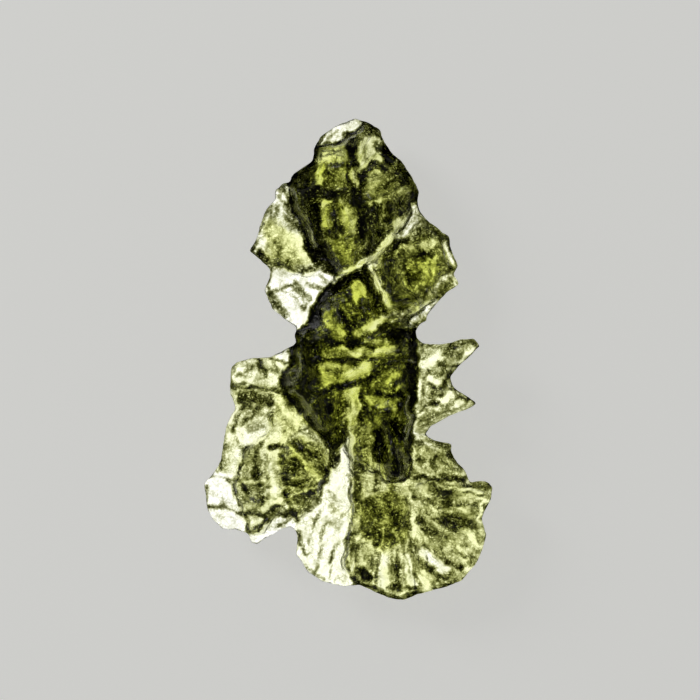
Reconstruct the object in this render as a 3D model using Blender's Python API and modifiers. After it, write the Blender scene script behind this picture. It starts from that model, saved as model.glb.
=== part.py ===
# Moldavite: one sculpted piece of natural green glass, lying on its back.
# A thick dark column (head and trunk) carries thin wings, spikes and a fluted fan.
# +X runs across the stone, +Y towards the head and +Z up; the resting spot is at z = 0.
import bmesh
import bpy
import numpy as np
from mathutils import Matrix, Vector

# Driving dimensions
STONE_LENGTH = 0.0484  # from the tip of the head to the lip of the fan, in metres
MM = 0.001
PLAN_LENGTH = 484  # the same length on the plan drawing, in plan units
PLAN_UNIT = STONE_LENGTH / PLAN_LENGTH
PLAN_CENTRE = (348, 360)  # plan point that sits over the origin; plan y runs down the sheet
PLAN_BOX = (190, 105, 510, 615)  # left, top, right and bottom of the plan sheet

# Thicknesses and heights, in millimetres
SHEET_THICKNESS = 1.2  # wherever no form below says otherwise
EDGE_THICKNESS = 0.45  # of the blunt outer edge
EDGE_SHARE = 0.2  # of the local thickness that an outer edge keeps
EDGE_ROUND = 0.7  # how far in from the outer edge the thinnest glass reaches its full thickness
EDGE_ROUND_SHARE = 0.3  # of the local thickness, added to that
WING_LEVEL = 3.1  # underside of the thin wings above the surface it lies on
BELLY_SHARE = 0.66  # how much of the smoothed thickness hangs below the wings
BELLY_BLUR = 2.6  # radius that smooths the thickness into a belly
BACK_BLUR = 0.45  # radius that softens the ledges on the underside
FRONT_BLUR = 0.22  # radius that softens them on the front, as far as the facets can follow
BACK_RELIEF = 0.35  # height of the broad swells on the underside
BACK_RELIEF_SIZE = 3.4
BACK_PITS = 0.17  # height of the small ones
BACK_PITS_SIZE = 1.5
BACK_SHARE = 0.3  # how much of each ledge shows on the underside
FRONT_RELIEF = 0.2  # swells on the front where the glass is 1 thick
FRONT_RELIEF_SIZE = 1.9
WANDER = 0.32  # how far the edges of ledges and grooves wander
WANDER_SIZE = 1.1
REST_POINT = (358, 352)  # plan point of the resting spot, under the centre of mass
REST_HALF_WIDTH = 24  # plan units
REST_HALF_LENGTH = 44
REST_EDGE = 1.3  # share of the spot's size over which the underside rises from it
REST_DEPTH = 0.12  # glass that the flat spot takes off
CLEARANCE = 0.25  # the rest of the underside keeps at least this far off the ground
CLEARANCE_SOFTNESS = 0.6  # rounds the underside off above that

# Mesh sizes, in metres
PLATE_THICKNESS = 0.0012  # of the flat blank before it is shaped
FINE_GRID = 0.00026
FACET_SHARE = 0.145  # of the fine triangles that the faceted stone keeps
CUTTER_WIDTH = STONE_LENGTH * 1.5
CUTTER_DEPTH = 0.004

OUTLINE = [
    # head, from its tip down the right side
    (355, 118), (368, 122), (380, 128), (386, 143), (392, 150), (403, 162), (413, 176), (420, 190), (418, 201),
    # upper right wing
    (420, 210), (430, 221), (440, 229), (450, 236), (451, 244), (456, 257), (459, 265), (454, 274), (460, 284),
    (449, 291), (440, 300), (427, 316), (427, 321), (420, 324), (416, 331), (418, 339),
    # two spikes
    (423, 343), (439, 344), (452, 342), (460, 339), (474, 338), (480, 346), (472, 354), (460, 365), (450, 376),
    (453, 387), (463, 394), (477, 403), (468, 409), (452, 415), (432, 426), (425, 435),
    # fan
    (434, 441), (452, 444), (451, 451), (458, 463), (465, 470), (470, 483), (481, 481), (489, 482), (493, 487),
    (491, 500), (484, 513), (482, 520), (487, 535), (484, 547), (477, 564), (463, 581), (448, 588), (418, 596),
    (404, 602), (390, 600), (374, 594), (360, 587), (345, 588), (322, 582), (307, 572), (301, 561), (295, 555),
    (297, 540), (295, 530), (290, 527),
    # lower left lobe
    (278, 532), (267, 538), (257, 545), (250, 543), (248, 535), (236, 531), (222, 530), (212, 521), (206, 509),
    (203, 484), (213, 473), (220, 461), (222, 443), (226, 426), (235, 408), (230, 394), (229, 385), (231, 368),
    (236, 362), (252, 358), (270, 357), (295, 344), (294, 335), (297, 328),
    # upper left wing
    (284, 319), (272, 309), (264, 290), (269, 278), (270, 270), (258, 258), (249, 251), (256, 240), (260, 225),
    (265, 210), (275, 199), (275, 190), (283, 183), (290, 181),
    # left side of the head
    (291, 175), (300, 168), (312, 160), (314, 147), (321, 136), (335, 126),
]

# Where the sheet bends out of its plane: plan point, reach in plan units and rise in millimetres.
BENDS = [
    ((250, 250), 48, 1.2),
    ((475, 372), 48, 1.5),
    ((455, 255), 40, -0.5),
    ((212, 500), 52, -1.1),
    ((395, 580), 62, -0.9),
    ((490, 490), 34, 0.7),
    ((355, 125), 46, 0.9),
]


# A ledge is a closed form that steps to its own thickness over a short edge.
def ledge(points, thickness, edge):
    return {"points": points, "thickness": thickness, "edge": edge, "half_width": None}


# A stroke is a rib or groove along a line. It fades out over its edge.
def stroke(points, half_width, thickness, edge):
    return {"points": points, "thickness": thickness, "edge": edge, "half_width": half_width}


def upper_left_wing():
    return [
        ledge([(240, 175), (345, 160), (345, 275), (300, 335), (240, 330)], 1.0, 10),
        stroke([(296, 240), (300, 258), (306, 262)], 12, 1.25, 16),
        stroke([(290, 276), (330, 276), (300, 300), (290, 315), (304, 322)], 13, 0.7, 14),
        stroke([(255, 248), (300, 270), (335, 264)], 4, 2.1, 10),
        stroke([(284, 220), (302, 228)], 5, 1.9, 10),
    ]


def upper_right_wing():
    return [
        ledge([(378, 205), (425, 195), (470, 230), (475, 330), (410, 330), (378, 310)], 2.6, 8),
        stroke([(412, 206), (416, 216), (408, 226), (398, 235)], 6, 1.0, 9),
        stroke([(396, 260), (430, 262)], 12, 3.2, 14),
        stroke([(388, 266), (392, 294)], 8, 4.8, 13),
        stroke([(425, 264), (432, 290)], 7, 3.1, 8),
        stroke([(390, 299), (414, 303)], 5, 6.6, 9),
        stroke([(444, 242), (452, 260)], 3, 1.0, 5),
        stroke([(434, 290), (452, 272)], 5, 1.3, 6),
        stroke([(412, 324), (440, 298)], 6, 0.8, 8),
    ]


def spikes():
    return [
        ledge([(406, 325), (490, 325), (490, 445), (406, 448)], 1.05, 8),
        stroke([(424, 362), (438, 350)], 7, 0.7, 12),
        stroke([(440, 350), (472, 345)], 3, 1.7, 8),
        stroke([(444, 364), (446, 386)], 4, 2.2, 8),
        stroke([(428, 389), (468, 403)], 3, 1.6, 8),
        stroke([(420, 424), (440, 414)], 5, 1.6, 9),
    ]


def lower_left_lobe():
    return [
        ledge([(195, 350), (300, 340), (345, 440), (325, 500), (290, 530), (195, 560)], 1.35, 8),
        stroke([(232, 374), (250, 368)], 9, 0.9, 12),
        stroke([(231, 389), (262, 388), (280, 393)], 2, 2.6, 5),
        stroke([(240, 396), (256, 400)], 7, 2.2, 10),
        stroke([(262, 428), (248, 438), (240, 456), (232, 474)], 6, 0.6, 8),
        stroke([(273, 415), (275, 428), (266, 440), (250, 450)], 2, 2.8, 5),
        ledge(
            [(243, 450), (258, 447), (276, 440), (300, 432), (328, 446), (334, 460), (328, 484), (312, 500),
             (296, 520), (290, 512), (276, 508), (270, 520), (262, 533), (246, 531), (241, 508), (233, 492),
             (236, 470)],
            2.2, 5,
        ),
        stroke([(268, 452), (272, 480), (272, 505)], 6, 1.5, 8),
        stroke([(296, 460), (305, 485)], 16, 3.4, 15),
        stroke([(300, 440), (312, 452), (326, 464)], 2, 4.8, 6),
        stroke([(292, 468), (284, 474), (286, 488)], 2, 4.4, 6),
        ledge([(195, 472), (214, 470), (232, 474), (236, 500), (243, 515), (246, 535), (195, 540)], 0.6, 5),
        stroke([(208, 507), (226, 509), (240, 516)], 2, 1.4, 5),
        ledge(
            [(246, 534), (262, 534), (272, 519), (280, 512), (292, 516), (296, 530), (262, 550), (246, 548)],
            0.6, 5,
        ),
    ]


def fan():
    return [
        ledge(
            [(353, 440), (405, 440), (452, 436), (510, 470), (500, 610), (380, 615), (357, 590), (350, 581),
             (343, 566), (347, 545), (352, 520)],
            1.8, 6,
        ),
        ledge(
            [(343, 428), (352, 428), (354, 480), (352, 520), (347, 545), (343, 566), (352, 582), (358, 590),
             (335, 600), (290, 590), (290, 528), (300, 515), (318, 492), (328, 470), (334, 452)],
            0.65, 6,
        ),
        stroke([(358, 488), (356, 520)], 4, 2.5, 9),
        ledge(
            [(361, 505), (385, 497), (406, 505), (408, 528), (400, 543), (386, 548), (372, 543), (362, 530)],
            3.8, 8,
        ),
        stroke([(432, 488), (456, 490)], 7, 3.0, 10),
        ledge([(440, 508), (448, 506), (468, 512), (474, 522), (473, 530), (448, 530), (443, 520)], 3.9, 6),
        stroke([(470, 484), (488, 488), (490, 498)], 5, 1.5, 7),
        stroke([(412, 458), (424, 472)], 8, 1.3, 14),
        stroke([(414, 500), (414, 530)], 5, 1.2, 10),
    ]


# The flutes of the fan are ribs that spread from one point above it.
FLUTE_CENTRE = (385, 470)
FLUTE_SPREAD = 17  # ribs over the half turn
FLUTE_HEIGHT = 0.26  # as a share of the local thickness
FLUTE_INNER = 72
FLUTE_FADE = 26


def head():
    return [
        ledge(
            [(312, 160), (306, 164), (293, 172), (288, 180), (291, 195), (296, 210), (303, 225), (307, 240),
             (313, 254), (328, 264), (341, 277), (352, 272), (362, 269), (378, 256), (391, 240), (394, 232),
             (405, 220), (411, 208), (424, 196), (424, 170), (395, 140), (385, 110), (350, 110), (325, 120),
             (308, 145)],
            5.7, 11,
        ),
        ledge(
            [(321, 138), (330, 129), (345, 122), (360, 118), (358, 128), (350, 134), (341, 140), (330, 141)],
            1.4, 8,
        ),
        stroke([(323, 156), (335, 156)], 8, 3.8, 12),
        stroke([(320, 170), (331, 184)], 6, 4.3, 11),
        stroke([(308, 196), (326, 197)], 5, 7.2, 11),
        stroke([(300, 176), (300, 200), (310, 226), (316, 246)], 5, 6.9, 9),
        stroke([(326, 206), (326, 224)], 6, 4.3, 11),
        stroke([(343, 205), (348, 230)], 6, 4.2, 11),
        stroke([(338, 242), (346, 260)], 9, 4.5, 12),
        stroke([(370, 140), (368, 152), (362, 164)], 6, 3.2, 11),
        stroke([(355, 170), (354, 184)], 3, 3.7, 9),
        stroke([(366, 190), (390, 180)], 4, 3.7, 9),
        stroke([(383, 200), (402, 193)], 3, 4.0, 8),
        stroke([(382, 206), (382, 232)], 2, 4.2, 8),
        stroke([(391, 206), (388, 228)], 3, 6.7, 9),
        stroke([(375, 210), (372, 232), (374, 248)], 3, 6.8, 9),
        stroke([(352, 142), (351, 160)], 2, 6.4, 8),
        stroke([(347, 176), (350, 212)], 2, 6.4, 8),
        stroke([(360, 174), (372, 168), (384, 172)], 3, 6.6, 8),
        stroke([(388, 142), (394, 166), (408, 184)], 8, 7.0, 12),
    ]


def trunk():
    return [
        ledge(
            [(341, 279), (333, 283), (320, 296), (312, 314), (302, 328), (294, 331), (292, 338), (296, 346),
             (290, 361), (282, 376), (281, 388), (291, 400), (307, 420), (324, 437), (338, 452), (343, 436),
             (352, 431), (356, 470), (380, 468), (389, 479), (395, 481), (402, 478), (407, 455), (411, 425),
             (415, 395), (416, 370), (418, 347), (417, 335), (411, 328), (394, 318), (386, 308), (375, 286),
             (370, 270), (362, 270), (352, 274)],
            5.7, 11,
        ),
        stroke([(352, 288), (358, 298)], 7, 4.2, 12),
        stroke([(329, 308), (328, 328)], 4, 4.5, 11),
        stroke([(336, 328), (343, 334)], 4, 4.4, 9),
        stroke([(336, 310), (350, 328)], 3, 6.5, 9),
        stroke([(371, 302), (372, 310)], 4, 6.9, 9),
        stroke([(364, 330), (378, 322), (396, 319)], 4, 3.9, 11),
        stroke([(382, 333), (396, 329), (410, 331)], 3, 6.1, 9),
        stroke([(340, 352), (396, 350)], 4, 4.0, 11),
        stroke([(318, 341), (372, 342)], 2, 6.1, 8),
        stroke([(318, 360), (412, 362)], 2, 6.5, 7),
        stroke([(322, 369), (345, 372), (368, 366)], 5, 4.0, 11),
        stroke([(320, 396), (332, 390), (352, 384), (368, 377), (376, 370)], 3, 6.8, 9),
        stroke([(300, 340), (302, 356)], 6, 7.3, 11),
        stroke([(304, 370), (302, 392), (314, 402)], 9, 7.5, 12),
        stroke([(320, 410), (326, 424)], 5, 6.5, 11),
        stroke([(346, 398), (350, 424)], 5, 4.1, 11),
        stroke([(384, 382), (396, 372)], 4, 4.5, 9),
        stroke([(368, 402), (390, 404)], 6, 4.5, 11),
        stroke([(362, 440), (368, 458)], 8, 4.4, 15),
        stroke([(386, 420), (392, 440), (396, 470)], 8, 7.0, 12),
        stroke([(406, 400), (405, 440)], 4, 7.2, 8),
    ]


def deep_grooves():
    return [
        stroke([(338, 277), (352, 270), (366, 265), (376, 258), (384, 250), (389, 242), (390, 236)], 2, 2.4, 7),
        stroke([(372, 270), (378, 286), (383, 300), (387, 309)], 2, 2.4, 7),
    ]


def plan_to_world(point):
    return (point[0] - PLAN_CENTRE[0]) * PLAN_UNIT, (PLAN_CENTRE[1] - point[1]) * PLAN_UNIT


def smooth_step(value):
    value = np.clip(value, 0.0, 1.0)
    return value * value * (3.0 - 2.0 * value)


def distance_to_line(x, y, points):
    nearest = np.full(x.shape, np.inf)
    for start, end in zip(points, points[1:] or points):
        along = np.subtract(end, start)
        length_squared = max(float(along @ along), 1e-9)
        share = np.clip(((x - start[0]) * along[0] + (y - start[1]) * along[1]) / length_squared, 0.0, 1.0)
        gap = np.hypot(x - start[0] - share * along[0], y - start[1] - share * along[1])
        nearest = np.minimum(nearest, gap)
    return nearest


# Positive inside the closed form, negative outside.
def depth_inside(x, y, points):
    closed = points + points[:1]
    within = np.zeros(x.shape, bool)
    for (ax, ay), (bx, by) in zip(closed, closed[1:]):
        if ay != by:
            crosses = ((ay > y) != (by > y)) & (x < (bx - ax) * (y - ay) / (by - ay) + ax)
            within ^= crosses
    gap = distance_to_line(x, y, closed)
    return np.where(within, gap, -gap)


def blurred(field, radius_mm):
    radius = radius_mm * MM / PLAN_UNIT
    reach = int(3 * radius) + 1
    weights = np.exp(-0.5 * (np.arange(-reach, reach + 1) / radius) ** 2)
    weights /= weights.sum()
    for axis, padding in ((0, ((reach, reach), (0, 0))), (1, ((0, 0), (reach, reach)))):
        padded = np.pad(field, padding, mode="edge")
        field = np.apply_along_axis(np.convolve, axis, padded, weights, "valid")
    return field


WORD = 0xFFFFFFFF  # the largest 32-bit number, which the mixing below stays within


# Repeatable values between -1 and 1 on a lattice of whole numbers.
def lattice_value(column, row, seed):
    column, row = column.astype(np.int64), row.astype(np.int64)
    mixed = (column * 374761393 + row * 668265263 + seed * 974634777) & WORD
    mixed = ((mixed ^ (mixed >> 13)) * 1274126177) & WORD
    return (mixed ^ (mixed >> 16)) / WORD * 2.0 - 1.0


def swells(x, y, size_mm, seed):
    u, v = x * PLAN_UNIT / (size_mm * MM), y * PLAN_UNIT / (size_mm * MM)
    column, row = np.floor(u), np.floor(v)
    across, down = smooth_step(u - column), smooth_step(v - row)
    near, far = lattice_value(column, row, seed), lattice_value(column + 1, row, seed)
    near_below, far_below = lattice_value(column, row + 1, seed), lattice_value(column + 1, row + 1, seed)
    top = near * (1 - across) + far * across
    low = near_below * (1 - across) + far_below * across
    return top * (1 - down) + low * down


def flute_pattern(x, y):
    angle = np.arctan2(x - FLUTE_CENTRE[0], y - FLUTE_CENTRE[1])
    distance = np.hypot(x - FLUTE_CENTRE[0], y - FLUTE_CENTRE[1])
    shown = smooth_step((distance - FLUTE_INNER) / FLUTE_FADE) * (y > FLUTE_CENTRE[1])
    return shown * np.cos(angle * 2 * FLUTE_SPREAD)


# Thickness of the glass over the plan sheet, in millimetres.
def thickness_plan(x, y):
    thickness = np.full(x.shape, SHEET_THICKNESS)
    wander = WANDER * MM / PLAN_UNIT
    x, y = x + wander * swells(x, y, WANDER_SIZE, seed=2), y + wander * swells(x, y, WANDER_SIZE, seed=3)
    forms = upper_left_wing() + upper_right_wing() + spikes() + lower_left_lobe() + fan() + head() + trunk()
    for form in forms + deep_grooves():
        if form["half_width"] is None:
            cover = depth_inside(x, y, form["points"]) / form["edge"]
        else:
            cover = (form["half_width"] - distance_to_line(x, y, form["points"])) / form["edge"]
        thickness += (form["thickness"] - thickness) * smooth_step(0.5 + cover)
    thickness += FRONT_RELIEF * np.sqrt(thickness) * swells(x, y, FRONT_RELIEF_SIZE, seed=11)
    return thickness * (1.0 + FLUTE_HEIGHT * flute_pattern(x, y))


def edge_profile(x, y, thickness):
    depth_mm = depth_inside(x, y, OUTLINE) * PLAN_UNIT / MM
    inward = np.clip(depth_mm / (EDGE_ROUND + EDGE_ROUND_SHARE * thickness), 0.0, 1.0)
    return np.sqrt(1.0 - (1.0 - inward) ** 2)


def underside_plan(x, y, thickness):
    belly = blurred(thickness, BELLY_BLUR)
    level = WING_LEVEL - BELLY_SHARE * (belly - 1.0) - BACK_SHARE * (blurred(thickness, BACK_BLUR) - belly)
    for point, reach, rise in BENDS:
        level += rise * np.exp(-((x - point[0]) ** 2 + (y - point[1]) ** 2) / reach**2)
    level += BACK_RELIEF * swells(x, y, BACK_RELIEF_SIZE, seed=5)
    level += BACK_PITS * swells(x, y, BACK_PITS_SIZE, seed=7) - CLEARANCE
    level = CLEARANCE + (level + np.sqrt(level**2 + CLEARANCE_SOFTNESS**2)) / 2
    outward = np.hypot((x - REST_POINT[0]) / REST_HALF_WIDTH, (y - REST_POINT[1]) / REST_HALF_LENGTH)
    return level - (level + REST_DEPTH) * smooth_step((1.0 - outward) / REST_EDGE + 1.0)


# Heights of the underside and the front over the plan sheet, in metres.
def height_plans():
    left, top, right, bottom = PLAN_BOX
    x, y = np.meshgrid(np.arange(left, right, dtype=float), np.arange(top, bottom, dtype=float))
    thickness = thickness_plan(x, y)
    underside = underside_plan(x, y, thickness)
    thickness = blurred(thickness, FRONT_BLUR)
    edge = np.maximum(thickness * EDGE_SHARE, EDGE_THICKNESS)
    thickness = edge + (thickness - edge) * edge_profile(x, y, thickness)
    return underside * MM, (underside + thickness) * MM


def read_plan(plan, column, row):
    i, j = np.floor(column).astype(int), np.floor(row).astype(int)
    across, down = column - i, row - j
    top = plan[j, i] * (1 - across) + plan[j, i + 1] * across
    low = plan[j + 1, i] * (1 - across) + plan[j + 1, i + 1] * across
    return top * (1 - down) + low * down


def clear_scene():
    for obj in list(bpy.data.objects):
        bpy.data.objects.remove(obj, do_unlink=True)


def collection_named(name):
    collection = bpy.data.collections.new(name)
    bpy.context.scene.collection.children.link(collection)
    return collection


# The evaluated mesh of an object, as a mesh of its own.
def baked_mesh(obj, name):
    graph = bpy.context.evaluated_depsgraph_get()
    mesh = bpy.data.meshes.new_from_object(obj.evaluated_get(graph))
    mesh.name = name
    return mesh


# A flat blank cut to the outline, and regridded so that it can be shaped.
def flat_blank(collection):
    curve = bpy.data.curves.new("outline", "CURVE")
    curve.dimensions = "2D"
    curve.fill_mode = "BOTH"
    curve.extrude = PLATE_THICKNESS / 2
    spline = curve.splines.new("POLY")
    spline.points.add(len(OUTLINE) - 1)
    for point, plan_point in zip(spline.points, OUTLINE):
        point.co = (*plan_to_world(plan_point), 0.0, 1.0)
    spline.use_cyclic_u = True
    outline = bpy.data.objects.new("outline", curve)
    collection.objects.link(outline)
    blank = bpy.data.objects.new("blank", baked_mesh(outline, "blank"))
    bpy.data.objects.remove(outline, do_unlink=True)
    collection.objects.link(blank)
    regrid = blank.modifiers.new("regrid", "REMESH")
    regrid.mode = "VOXEL"
    regrid.voxel_size = FINE_GRID
    mesh = baked_mesh(blank, "moldavite")
    bpy.data.objects.remove(blank, do_unlink=True)
    return mesh


# Lifts each point of the blank to the underside and front heights of the plan.
def shape_blank(mesh):
    underside, front = height_plans()
    points = np.empty(len(mesh.vertices) * 3)
    mesh.vertices.foreach_get("co", points)
    points = points.reshape(-1, 3)
    column = points[:, 0] / PLAN_UNIT + PLAN_CENTRE[0] - PLAN_BOX[0]
    row = PLAN_CENTRE[1] - points[:, 1] / PLAN_UNIT - PLAN_BOX[1]
    low, high = read_plan(underside, column, row), read_plan(front, column, row)
    share = np.clip(points[:, 2] / PLATE_THICKNESS + 0.5, 0.0, 1.0)
    points[:, 2] = low + (high - low) * share
    mesh.vertices.foreach_set("co", points.ravel())
    mesh.update()


# Keeps the ledges and drops the triangles that flat glass doesn't need.
def faceted(mesh, collection):
    fine = bpy.data.objects.new("fine", mesh)
    collection.objects.link(fine)
    facets = fine.modifiers.new("facets", "DECIMATE")
    facets.ratio = FACET_SHARE
    facets.use_collapse_triangulate = True
    result = baked_mesh(fine, "moldavite")
    bpy.data.objects.remove(fine, do_unlink=True)
    return result


# Centres the stone over the origin without changing its height.
def centre(mesh):
    corners = [vertex.co for vertex in mesh.vertices]
    across = [corner.x for corner in corners]
    along = [corner.y for corner in corners]
    middle = Vector((min(across) + max(across), min(along) + max(along), 0.0)) / 2
    mesh.transform(Matrix.Translation(-middle))


# A box under z = 0, which leaves the stone one small flat spot.
def resting_cutter(collection):
    box = bmesh.new()
    bmesh.ops.create_cube(box, size=1)
    bmesh.ops.scale(box, vec=(CUTTER_WIDTH, CUTTER_WIDTH, CUTTER_DEPTH), verts=box.verts)
    bmesh.ops.translate(box, vec=(0, 0, -CUTTER_DEPTH / 2), verts=box.verts)
    mesh = bpy.data.meshes.new("resting_cutter")
    box.to_mesh(mesh)
    box.free()
    cutter = bpy.data.objects.new("resting_cutter", mesh)
    cutter.display_type = "WIRE"
    cutter.hide_render = True
    collection.objects.link(cutter)
    return cutter


def glass():
    material = bpy.data.materials.new("moldavite_glass")
    material.use_nodes = True
    shader = material.node_tree.nodes["Principled BSDF"]
    shader.inputs["Base Color"].default_value = (0.62, 0.684, 0.02, 1.0)
    shader.inputs["Roughness"].default_value = 0.12
    shader.inputs["IOR"].default_value = 1.49
    shader.inputs["Transmission Weight"].default_value = 1.0
    return material


def build():
    clear_scene()
    stone_collection = collection_named("moldavite")
    cutter_collection = collection_named("cutters")
    mesh = flat_blank(cutter_collection)
    shape_blank(mesh)
    mesh = faceted(mesh, cutter_collection)
    centre(mesh)
    stone = bpy.data.objects.new("moldavite", mesh)
    stone_collection.objects.link(stone)
    resting_spot = stone.modifiers.new("resting spot", "BOOLEAN")
    resting_spot.operation = "DIFFERENCE"
    resting_spot.solver = "EXACT"
    resting_spot.object = resting_cutter(cutter_collection)
    mesh.materials.clear()
    mesh.materials.append(glass())


build()
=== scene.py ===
# A sculpted moldavite lying on a pale floor, with soft light above it and a light pad below.
import math

import bmesh
import bpy
import numpy as np
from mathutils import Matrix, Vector


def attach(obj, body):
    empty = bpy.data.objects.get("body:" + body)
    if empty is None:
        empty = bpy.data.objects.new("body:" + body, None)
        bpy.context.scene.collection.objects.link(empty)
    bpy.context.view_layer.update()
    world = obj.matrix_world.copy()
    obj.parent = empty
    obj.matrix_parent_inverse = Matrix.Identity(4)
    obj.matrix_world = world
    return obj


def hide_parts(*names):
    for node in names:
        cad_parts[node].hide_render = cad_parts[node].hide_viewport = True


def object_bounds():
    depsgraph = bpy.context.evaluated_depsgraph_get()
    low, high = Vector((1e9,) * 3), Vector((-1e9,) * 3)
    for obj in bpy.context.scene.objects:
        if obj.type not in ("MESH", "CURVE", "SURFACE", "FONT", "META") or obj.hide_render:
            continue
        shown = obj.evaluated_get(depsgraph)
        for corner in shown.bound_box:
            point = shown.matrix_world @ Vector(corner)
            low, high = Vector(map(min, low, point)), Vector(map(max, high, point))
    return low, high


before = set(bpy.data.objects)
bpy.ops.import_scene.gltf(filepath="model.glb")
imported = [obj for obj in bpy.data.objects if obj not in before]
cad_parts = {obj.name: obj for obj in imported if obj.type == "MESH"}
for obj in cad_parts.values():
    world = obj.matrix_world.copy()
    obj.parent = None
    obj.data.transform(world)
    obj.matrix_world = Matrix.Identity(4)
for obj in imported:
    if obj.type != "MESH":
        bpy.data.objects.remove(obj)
cadLow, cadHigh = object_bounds()
print("stone box from the frame:", [round(side * 1000, 2) for side in cadHigh - cadLow], "mm")

# The stone is drawn on a sheet of small squares. y runs down the sheet, towards the fan.
sheet = {
    "length": 484,  # squares from the tip of the head to the lip of the fan
    "centre": (348, 360),  # over the middle of the stone
    "box": (190, 105, 510, 615),  # left, top, right, bottom
    "photoCentre": (350, 350),
    "photoWidth": 700,
    "margin": 6,  # squares around each drawn form, in which it may waver
}
square = (cadHigh.y - cadLow.y) / sheet["length"]
mm = 0.001
squaresPerMm = mm / square


def toStone(point, height=0.0):
    across, down = point[0] - sheet["centre"][0], point[1] - sheet["centre"][1]
    return Vector((across * square, -down * square, height))


# A drawn form is closed or a line. It grows outwards by some squares, and its edge is soft.
def drawnForm(points, closed, grow, edge, **values):
    return {"points": points, "closed": closed, "grow": grow, "edge": edge, **values}


def ledge(points, thickness, edge, inset=0):  # steps to its own thickness in mm
    return drawnForm(points, True, -inset, edge, thickness=thickness)


def stroke(points, halfWidth, thickness, edge):  # a rib or a groove
    return drawnForm(points, False, halfWidth, edge, thickness=thickness)


def smoothStep(value):
    value = np.clip(value, 0.0, 1.0)
    return value * value * (3.0 - 2.0 * value)


def mixed(first, second, share):
    return first * (1 - share) + second * share


def distanceToLine(x, y, points):
    nearest = np.full(x.shape, np.inf)
    for start, end in zip(points, points[1:] or points):
        along = np.subtract(end, start)
        lengthSquared = max(float(along @ along), 1e-9)
        share = np.clip(((x - start[0]) * along[0] + (y - start[1]) * along[1]) / lengthSquared, 0.0, 1.0)
        gap = np.hypot(x - start[0] - share * along[0], y - start[1] - share * along[1])
        nearest = np.minimum(nearest, gap)
    return nearest


def depthInside(x, y, points):  # positive inside the closed form, negative outside
    closed = points + points[:1]
    within = np.zeros(x.shape, bool)
    for (ax, ay), (bx, by) in zip(closed, closed[1:]):
        if ay != by:
            within ^= ((ay > y) != (by > y)) & (x < (bx - ax) * (y - ay) / (by - ay) + ax)
    gap = distanceToLine(x, y, closed)
    return np.where(within, gap, -gap)


def blurred(field, radiusMm):
    radius = radiusMm * squaresPerMm
    reach = int(3 * radius) + 1
    weights = np.exp(-0.5 * (np.arange(-reach, reach + 1) / radius) ** 2)
    weights /= weights.sum()
    for axis, padding in ((0, ((reach, reach), (0, 0))), (1, ((0, 0), (reach, reach)))):
        padded = np.pad(field, padding, mode="edge")
        field = np.apply_along_axis(np.convolve, axis, padded, weights, "valid")
    return field


# Odd numbers that scramble whole numbers well, and the largest number of 32 bits.
scramble = {
    "column": 374761393, "row": 668265263, "layer": 2147483629, "seed": 974634777,
    "again": 1274126177, "shifts": (13, 16), "largest": 2**32 - 1,
}


def latticeValue(column, row, seed, layer=0):  # repeatable values between -1 and 1 on whole numbers
    largest = scramble["largest"]
    word = column.astype(np.int64) * scramble["column"] + row.astype(np.int64) * scramble["row"]
    word = (word + layer * scramble["layer"] + seed * scramble["seed"]) & largest
    word = ((word ^ (word >> scramble["shifts"][0])) * scramble["again"]) & largest
    return (word ^ (word >> scramble["shifts"][1])) / largest * 2.0 - 1.0


def swells(x, y, sizeMm, seed):  # smooth hills and hollows between -1 and 1
    u, v = x / (sizeMm * squaresPerMm), y / (sizeMm * squaresPerMm)
    column, row = np.floor(u), np.floor(v)
    across, down = smoothStep(u - column), smoothStep(v - row)
    near, far = latticeValue(column, row, seed), latticeValue(column + 1, row, seed)
    nearBelow, farBelow = latticeValue(column, row + 1, seed), latticeValue(column + 1, row + 1, seed)
    return mixed(mixed(near, far, across), mixed(nearBelow, farBelow, across), down)


def swells3d(points, sizeMm, seed):  # the same through the body of the glass
    cells = points / (sizeMm * mm)
    base = np.floor(cells).astype(np.int64)
    part = smoothStep(cells - base)
    total = np.zeros(len(points))
    for corner in range(8):
        step = np.array([corner & 1, corner >> 1 & 1, corner >> 2 & 1])
        weight = np.prod(np.where(step, part, 1.0 - part), axis=1)
        column, row, layer = (base + step).T
        total += weight * latticeValue(column, row, seed, layer)
    return total


outline = [
    # head, from its tip down the right side
    (355, 118), (368, 122), (380, 128), (386, 143), (392, 150), (403, 162), (413, 176),
    (420, 190), (418, 201),
    # upper right wing
    (420, 210), (430, 221), (440, 229), (450, 236), (451, 244), (456, 257), (459, 265),
    (454, 274), (460, 284), (449, 291), (440, 300), (427, 316), (427, 321), (420, 324),
    (416, 331), (418, 339),
    # two spikes
    (423, 343), (439, 344), (452, 342), (460, 339), (474, 338), (480, 346), (472, 354),
    (460, 365), (450, 376), (453, 387), (463, 394), (477, 403), (468, 409), (452, 415),
    (432, 426), (425, 435),
    # fan
    (434, 441), (452, 444), (451, 451), (458, 463), (465, 470), (470, 483), (481, 481),
    (489, 482), (493, 487), (491, 500), (484, 513), (482, 520), (487, 535), (484, 547),
    (477, 564), (463, 581), (448, 588), (418, 596), (404, 602), (390, 600), (374, 594),
    (360, 587), (345, 588), (322, 582), (307, 572), (301, 561), (295, 555), (297, 540),
    (295, 530), (290, 527),
    # lower left lobe
    (278, 532), (267, 538), (257, 545), (250, 543), (248, 535), (236, 531), (222, 530),
    (212, 521), (206, 509), (203, 484), (213, 473), (220, 461), (222, 443), (226, 426),
    (235, 408), (230, 394), (229, 385), (231, 368), (236, 362), (252, 358), (270, 357),
    (295, 344), (294, 335), (297, 328),
    # upper left wing
    (284, 319), (272, 309), (264, 290), (269, 278), (270, 270), (258, 258), (249, 251),
    (256, 240), (260, 225), (265, 210), (275, 199), (275, 190), (283, 183), (290, 181),
    # left side of the head
    (291, 175), (300, 168), (312, 160), (314, 147), (321, 136), (335, 126),
]


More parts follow.
